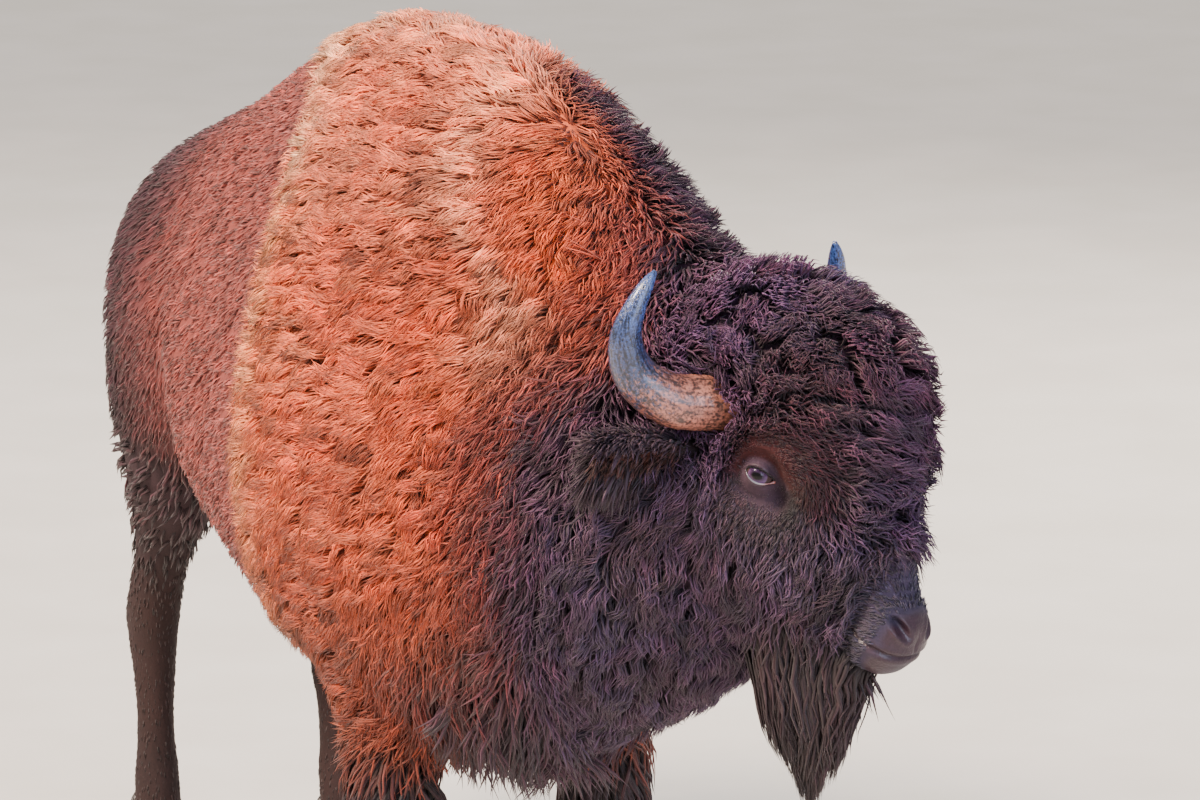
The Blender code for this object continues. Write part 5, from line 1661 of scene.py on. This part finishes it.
class BisonForm(PropertyGroup):
    """Sizes of the parts that aren't hair, and of the stage."""

    horn_relief: FloatProperty(name="Horn ridges", description="Ridges, as a share of their own height",
                               default=1.0, min=0, max=2, subtype="FACTOR")
    cornea: FloatProperty(name="Cornea", description="How far the cornea stands over the ball",
                          default=0.0016, min=0, max=0.004, unit="LENGTH", subtype="DISTANCE")
    floor: FloatProperty(name="Floor", description="Half the width of the studio floor",
                         default=90.0, min=5, max=200, unit="LENGTH", subtype="DISTANCE")
    light: FloatProperty(name="Light", description="Strength of the studio lights, as a share of their own",
                         default=2.0, min=0, max=4, subtype="FACTOR")


# ---- operators ----
class BISON_OT_skin(Operator):
    """One skin over the whole animal, with lids, nostrils and lips"""

    bl_idname = "bison.skin"
    bl_label = "Skin"

    def execute(self, context):
        make_skin()
        return {"FINISHED"}


class BISON_OT_head_wool(Operator):
    """Bonnet of wool over the brow, long hair of the cheeks, and short hair of the face"""

    bl_idname = "bison.head_wool"
    bl_label = "Head hair"

    def execute(self, context):
        ground, hair = skin_ground(), hair_material("head_wool", 0.0022)
        grow("bonnet_wool", ground, ["bonnet"], rings=3, most=12400, seed=101, material=hair)
        grow("cheek_hair", ground, ["cheek"], rings=3, most=12400, seed=103, material=hair)
        short = hair_material("short_face_hair", 0.0008)
        grow("face_hair", ground, ["muzzle", "lid", "brow"], rings=2, most=19800, seed=107, material=short)
        return {"FINISHED"}


class BISON_OT_mane(Operator):
    """Dark mane of the neck and erect crest of the hump"""

    bl_idname = "bison.mane"
    bl_label = "Mane and crest"

    def execute(self, context):
        hair = hair_material("mane_hair", 0.0025)
        grow("mane_hair", skin_ground(), ["mane", "crest"], rings=3, most=12400, seed=109, material=hair)
        return {"FINISHED"}


class BISON_OT_cape(Operator):
    """Woolly cape over hump and shoulders, in two halves"""

    bl_idname = "bison.cape"
    bl_label = "Cape"

    def execute(self, context):
        ground, hair = skin_ground(), hair_material("cape_wool", 0.0022)
        for name, most, seed, where in (
            ("right_upper", 19900, 113, on_right_upper),
            ("right_lower", 19900, 119, on_right_lower),
            ("left", 12000, 127, on_left),
        ):
            grow(f"cape_wool_{name}", ground, ["cape"], 2, most, seed, hair, where=where)
        return {"FINISHED"}


class BISON_OT_hind_coat(Operator):
    """Plush hair of loin, flank, rump and belly"""

    bl_idname = "bison.hind_coat"
    bl_label = "Hind coat"

    def execute(self, context):
        hair = hair_material("hind_plush", 0.0014)
        grow("hind_plush", skin_ground(), ["flank", "rump", "belly"], rings=2, most=17000, seed=131,
             material=hair)
        return {"FINISHED"}


class BISON_OT_long_hair(Operator):
    """Beard, throat fringe and the chaps of the forelegs"""

    bl_idname = "bison.long_hair"
    bl_label = "Beard, throat and chaps"

    def execute(self, context):
        hair = hair_material("long_hair", 0.0025)
        grow("throat_hair", skin_ground(), ["throat", "chaps", "beard"], rings=4, most=4500, seed=137,
             material=hair)
        roots, line = beard_lines(rings=6, most=1700, seed=139)
        tone = np.tile(context.scene.bison_coat.beard[:3], (len(line), 1))
        locks = long_locks("beard_hair", roots, line, 0.0095, (tone * 0.5, tone * 1.25), 149, hair)
        return {"FINISHED"}


class BISON_OT_leg_hair(Operator):
    """Short flat hair of the lower legs"""

    bl_idname = "bison.leg_hair"
    bl_label = "Leg hair"

    def execute(self, context):
        hair = hair_material("short_leg_hair", 0.0010)
        grow("shank_hair", skin_ground(), ["shank"], rings=2, most=3600, seed=151, material=hair)
        return {"FINISHED"}


class BISON_OT_horns(Operator):
    """Ridged sheaths of both horns"""

    bl_idname = "bison.horns"
    bl_label = "Horns"

    def execute(self, context):
        sheath = horn_material()
        for side in SIDES:
            make_horn(side, sheath)
        return {"FINISHED"}


class BISON_OT_eyes(Operator):
    """Eyeballs, wet rims of the lids, and lashes"""

    bl_idname = "bison.eyes"
    bl_label = "Eyes"

    def execute(self, context):
        ball, lash = eye_material(), hair_material("lashes", 0.0002)
        rims = {"lower": lid_rim_material(), "upper": hide()}
        for side in SIDES:
            make_eye(side, ball, rims, lash)
        return {"FINISHED"}


class BISON_OT_ears(Operator):
    """Ears with their hair"""

    bl_idname = "bison.ears"
    bl_label = "Ears"

    def execute(self, context):
        hair = hair_material("ear_hair", 0.0010)
        for side in SIDES:
            make_ear(side, hide(), hair)
        return {"FINISHED"}


class BISON_OT_tail(Operator):
    """Tail, its hair and its tassel"""

    bl_idname = "bison.tail"
    bl_label = "Tail"

    def execute(self, context):
        make_tail(hide(), hair_material("tail_hair", 0.0015))
        return {"FINISHED"}


class BISON_OT_hooves(Operator):
    """Claws of the hooves and the dewclaws above them"""

    bl_idname = "bison.hooves"
    bl_label = "Hooves"

    def execute(self, context):
        wall = hoof_material()
        for end in LEGS:
            for side in SIDES:
                for claw, letter in ((-1, "a"), (1, "b")):
                    make_hoof(end, side, claw, letter, wall)
        return {"FINISHED"}


class BISON_OT_stage(Operator):
    """Pale floor, soft lights and the camera"""

    bl_idname = "bison.stage"
    bl_label = "Stage"

    def execute(self, context):
        make_stage()
        return {"FINISHED"}


OPERATORS = (
    BISON_OT_skin, BISON_OT_head_wool, BISON_OT_mane, BISON_OT_cape, BISON_OT_hind_coat, BISON_OT_long_hair,
    BISON_OT_leg_hair, BISON_OT_horns, BISON_OT_eyes, BISON_OT_ears, BISON_OT_tail, BISON_OT_hooves,
    BISON_OT_stage,
)


# ---- stage ----
CAMERA_AZIMUTH, CAMERA_ELEVATION = math.radians(71), math.radians(11)
CAMERA_TARGET, CAMERA_DISTANCE = np.array((0.10, 0.0, 1.79)), 14.5
IMAGE_WIDTH, IMAGE_HEIGHT, POINTS_PER_METRE = 1200, 800, 610
TARGET_AT = (490, 26)  # where the target lies in the frame, from its top left corner
SENSOR_WIDTH = 36.0  # mm
# Name, place, size, watts and colour of the soft lights.
LIGHTS = (
    ("key", (1.0, -6.4, 8.0), 2.4, 1150, "#FFE6D2"),
    ("fill", (6.5, 1.5, 3.0), 4.0, 200, "#D8E2FF"),
    ("back", (-5.0, 4.0, 5.0), 4.0, 400, "#FFEFE0"),
)
CEILING_FROM, CEILING_SPREAD, CEILING_POWER = (0.10, -0.75, 0.95), math.radians(25), 1.35
SKY_COLOUR, SKY_POWER = "#E4E6EA", 0.80


def add_light(name, kind, turn, power, colour, **shape):
    """A light of this kind, which shines down its own -Z, with power times the stage's strength."""
    light = bpy.data.lights.new(name, kind)
    for key, value in shape.items():
        setattr(light, key, value)
    light.energy = power * bpy.context.scene.bison_form.light
    light.color = linear(colour)
    lamp = bpy.data.objects.new(name, light)
    lamp.rotation_euler = turn.to_euler()
    bpy.context.scene.collection.objects.link(lamp)
    return lamp


def make_floor(half):
    """A level square, half wide each way, of four faces."""
    x, y = np.meshgrid(np.linspace(-half, half, 3), np.linspace(-half, half, 3))
    points = np.stack([x.ravel(), y.ravel(), np.zeros(9)], 1)
    quads = [[r * 3 + c, r * 3 + c + 1, r * 3 + c + 4, r * 3 + c + 3] for r in (0, 1) for c in (0, 1)]
    mesh = bpy.data.meshes.new("studio_floor")
    mesh.from_pydata(points.tolist(), [], quads)
    mesh.materials.append(floor_material())
    floor = bpy.data.objects.new("studio_floor", mesh)
    bpy.context.scene.collection.objects.link(floor)


def make_camera():
    """A long lens that looks at the target; the camera stands aside so that it lies at TARGET_AT."""
    azimuth, elevation = CAMERA_AZIMUTH, CAMERA_ELEVATION
    flat = math.cos(elevation)
    back = Vector((math.sin(azimuth) * flat, -math.cos(azimuth) * flat, math.sin(elevation)))
    right = Vector((math.cos(azimuth), math.sin(azimuth), 0.0))
    up = back.cross(right)
    camera = bpy.data.objects.new("camera", bpy.data.cameras.new("camera"))
    across = (TARGET_AT[0] - IMAGE_WIDTH / 2) / POINTS_PER_METRE
    over = (TARGET_AT[1] - IMAGE_HEIGHT / 2) / POINTS_PER_METRE
    camera.location = Vector(CAMERA_TARGET + SHIFT) + back * CAMERA_DISTANCE - right * across + up * over
    camera.rotation_euler = back.to_track_quat("Z", "Y").to_euler()
    camera.data.sensor_width = SENSOR_WIDTH
    camera.data.lens = POINTS_PER_METRE * CAMERA_DISTANCE * SENSOR_WIDTH / IMAGE_WIDTH
    camera.data.clip_end = 400.0
    bpy.context.scene.collection.objects.link(camera)
    bpy.context.scene.camera = camera


def make_stage():
    """Floor, camera, soft lights that face the animal's middle, a broad ceiling light, and a pale sky."""
    scene = bpy.context.scene
    make_floor(scene.bison_form.floor)
    make_camera()
    for name, place, size, power, colour in LIGHTS:
        turn = (Vector((0, 0, 1.0)) - Vector(place)).to_track_quat("-Z", "Y")
        add_light(name, "AREA", turn, power, colour, size=size).location = place
    turn = Vector(CEILING_FROM).to_track_quat("Z", "Y")
    add_light("ceiling", "SUN", turn, CEILING_POWER, "#FFEEDF", angle=CEILING_SPREAD)
    world = bpy.data.worlds.new("studio")
    world.use_nodes = True
    sky = world.node_tree.nodes["Background"].inputs
    sky["Color"].default_value = (*linear(SKY_COLOUR), 1.0)
    sky["Strength"].default_value = SKY_POWER
    scene.world = world


class BISON_PT_dressing(Panel):
    """Settings and steps of the bison's dressing"""

    bl_idname = "BISON_PT_dressing"
    bl_label = "Bison"
    bl_space_type = "VIEW_3D"
    bl_region_type = "UI"
    bl_category = "Bison"

    def draw(self, context):
        """All settings, then a button for each step."""
        for group in (context.scene.bison_coat, context.scene.bison_form):
            for name in group.__annotations__:
                self.layout.prop(group, name)
        for operator in OPERATORS:
            self.layout.operator(operator.bl_idname)


CLASSES = (BisonCoat, BisonForm, *OPERATORS, BISON_PT_dressing)


def register():
    """Registers classes and their settings on the scene."""
    for cls in CLASSES:
        bpy.utils.register_class(cls)
    bpy.types.Scene.bison_coat = PointerProperty(type=BisonCoat)
    bpy.types.Scene.bison_form = PointerProperty(type=BisonForm)


def unregister():
    """Takes settings and classes away again."""
    del bpy.types.Scene.bison_form
    del bpy.types.Scene.bison_coat
    for cls in reversed(CLASSES):
        bpy.utils.unregister_class(cls)


def main():
    """Runs every step in order."""
    register()
    for operator in OPERATORS:
        group, name = operator.bl_idname.split(".")
        getattr(getattr(bpy.ops, group), name)()


if __name__ == "__main__":
    main()
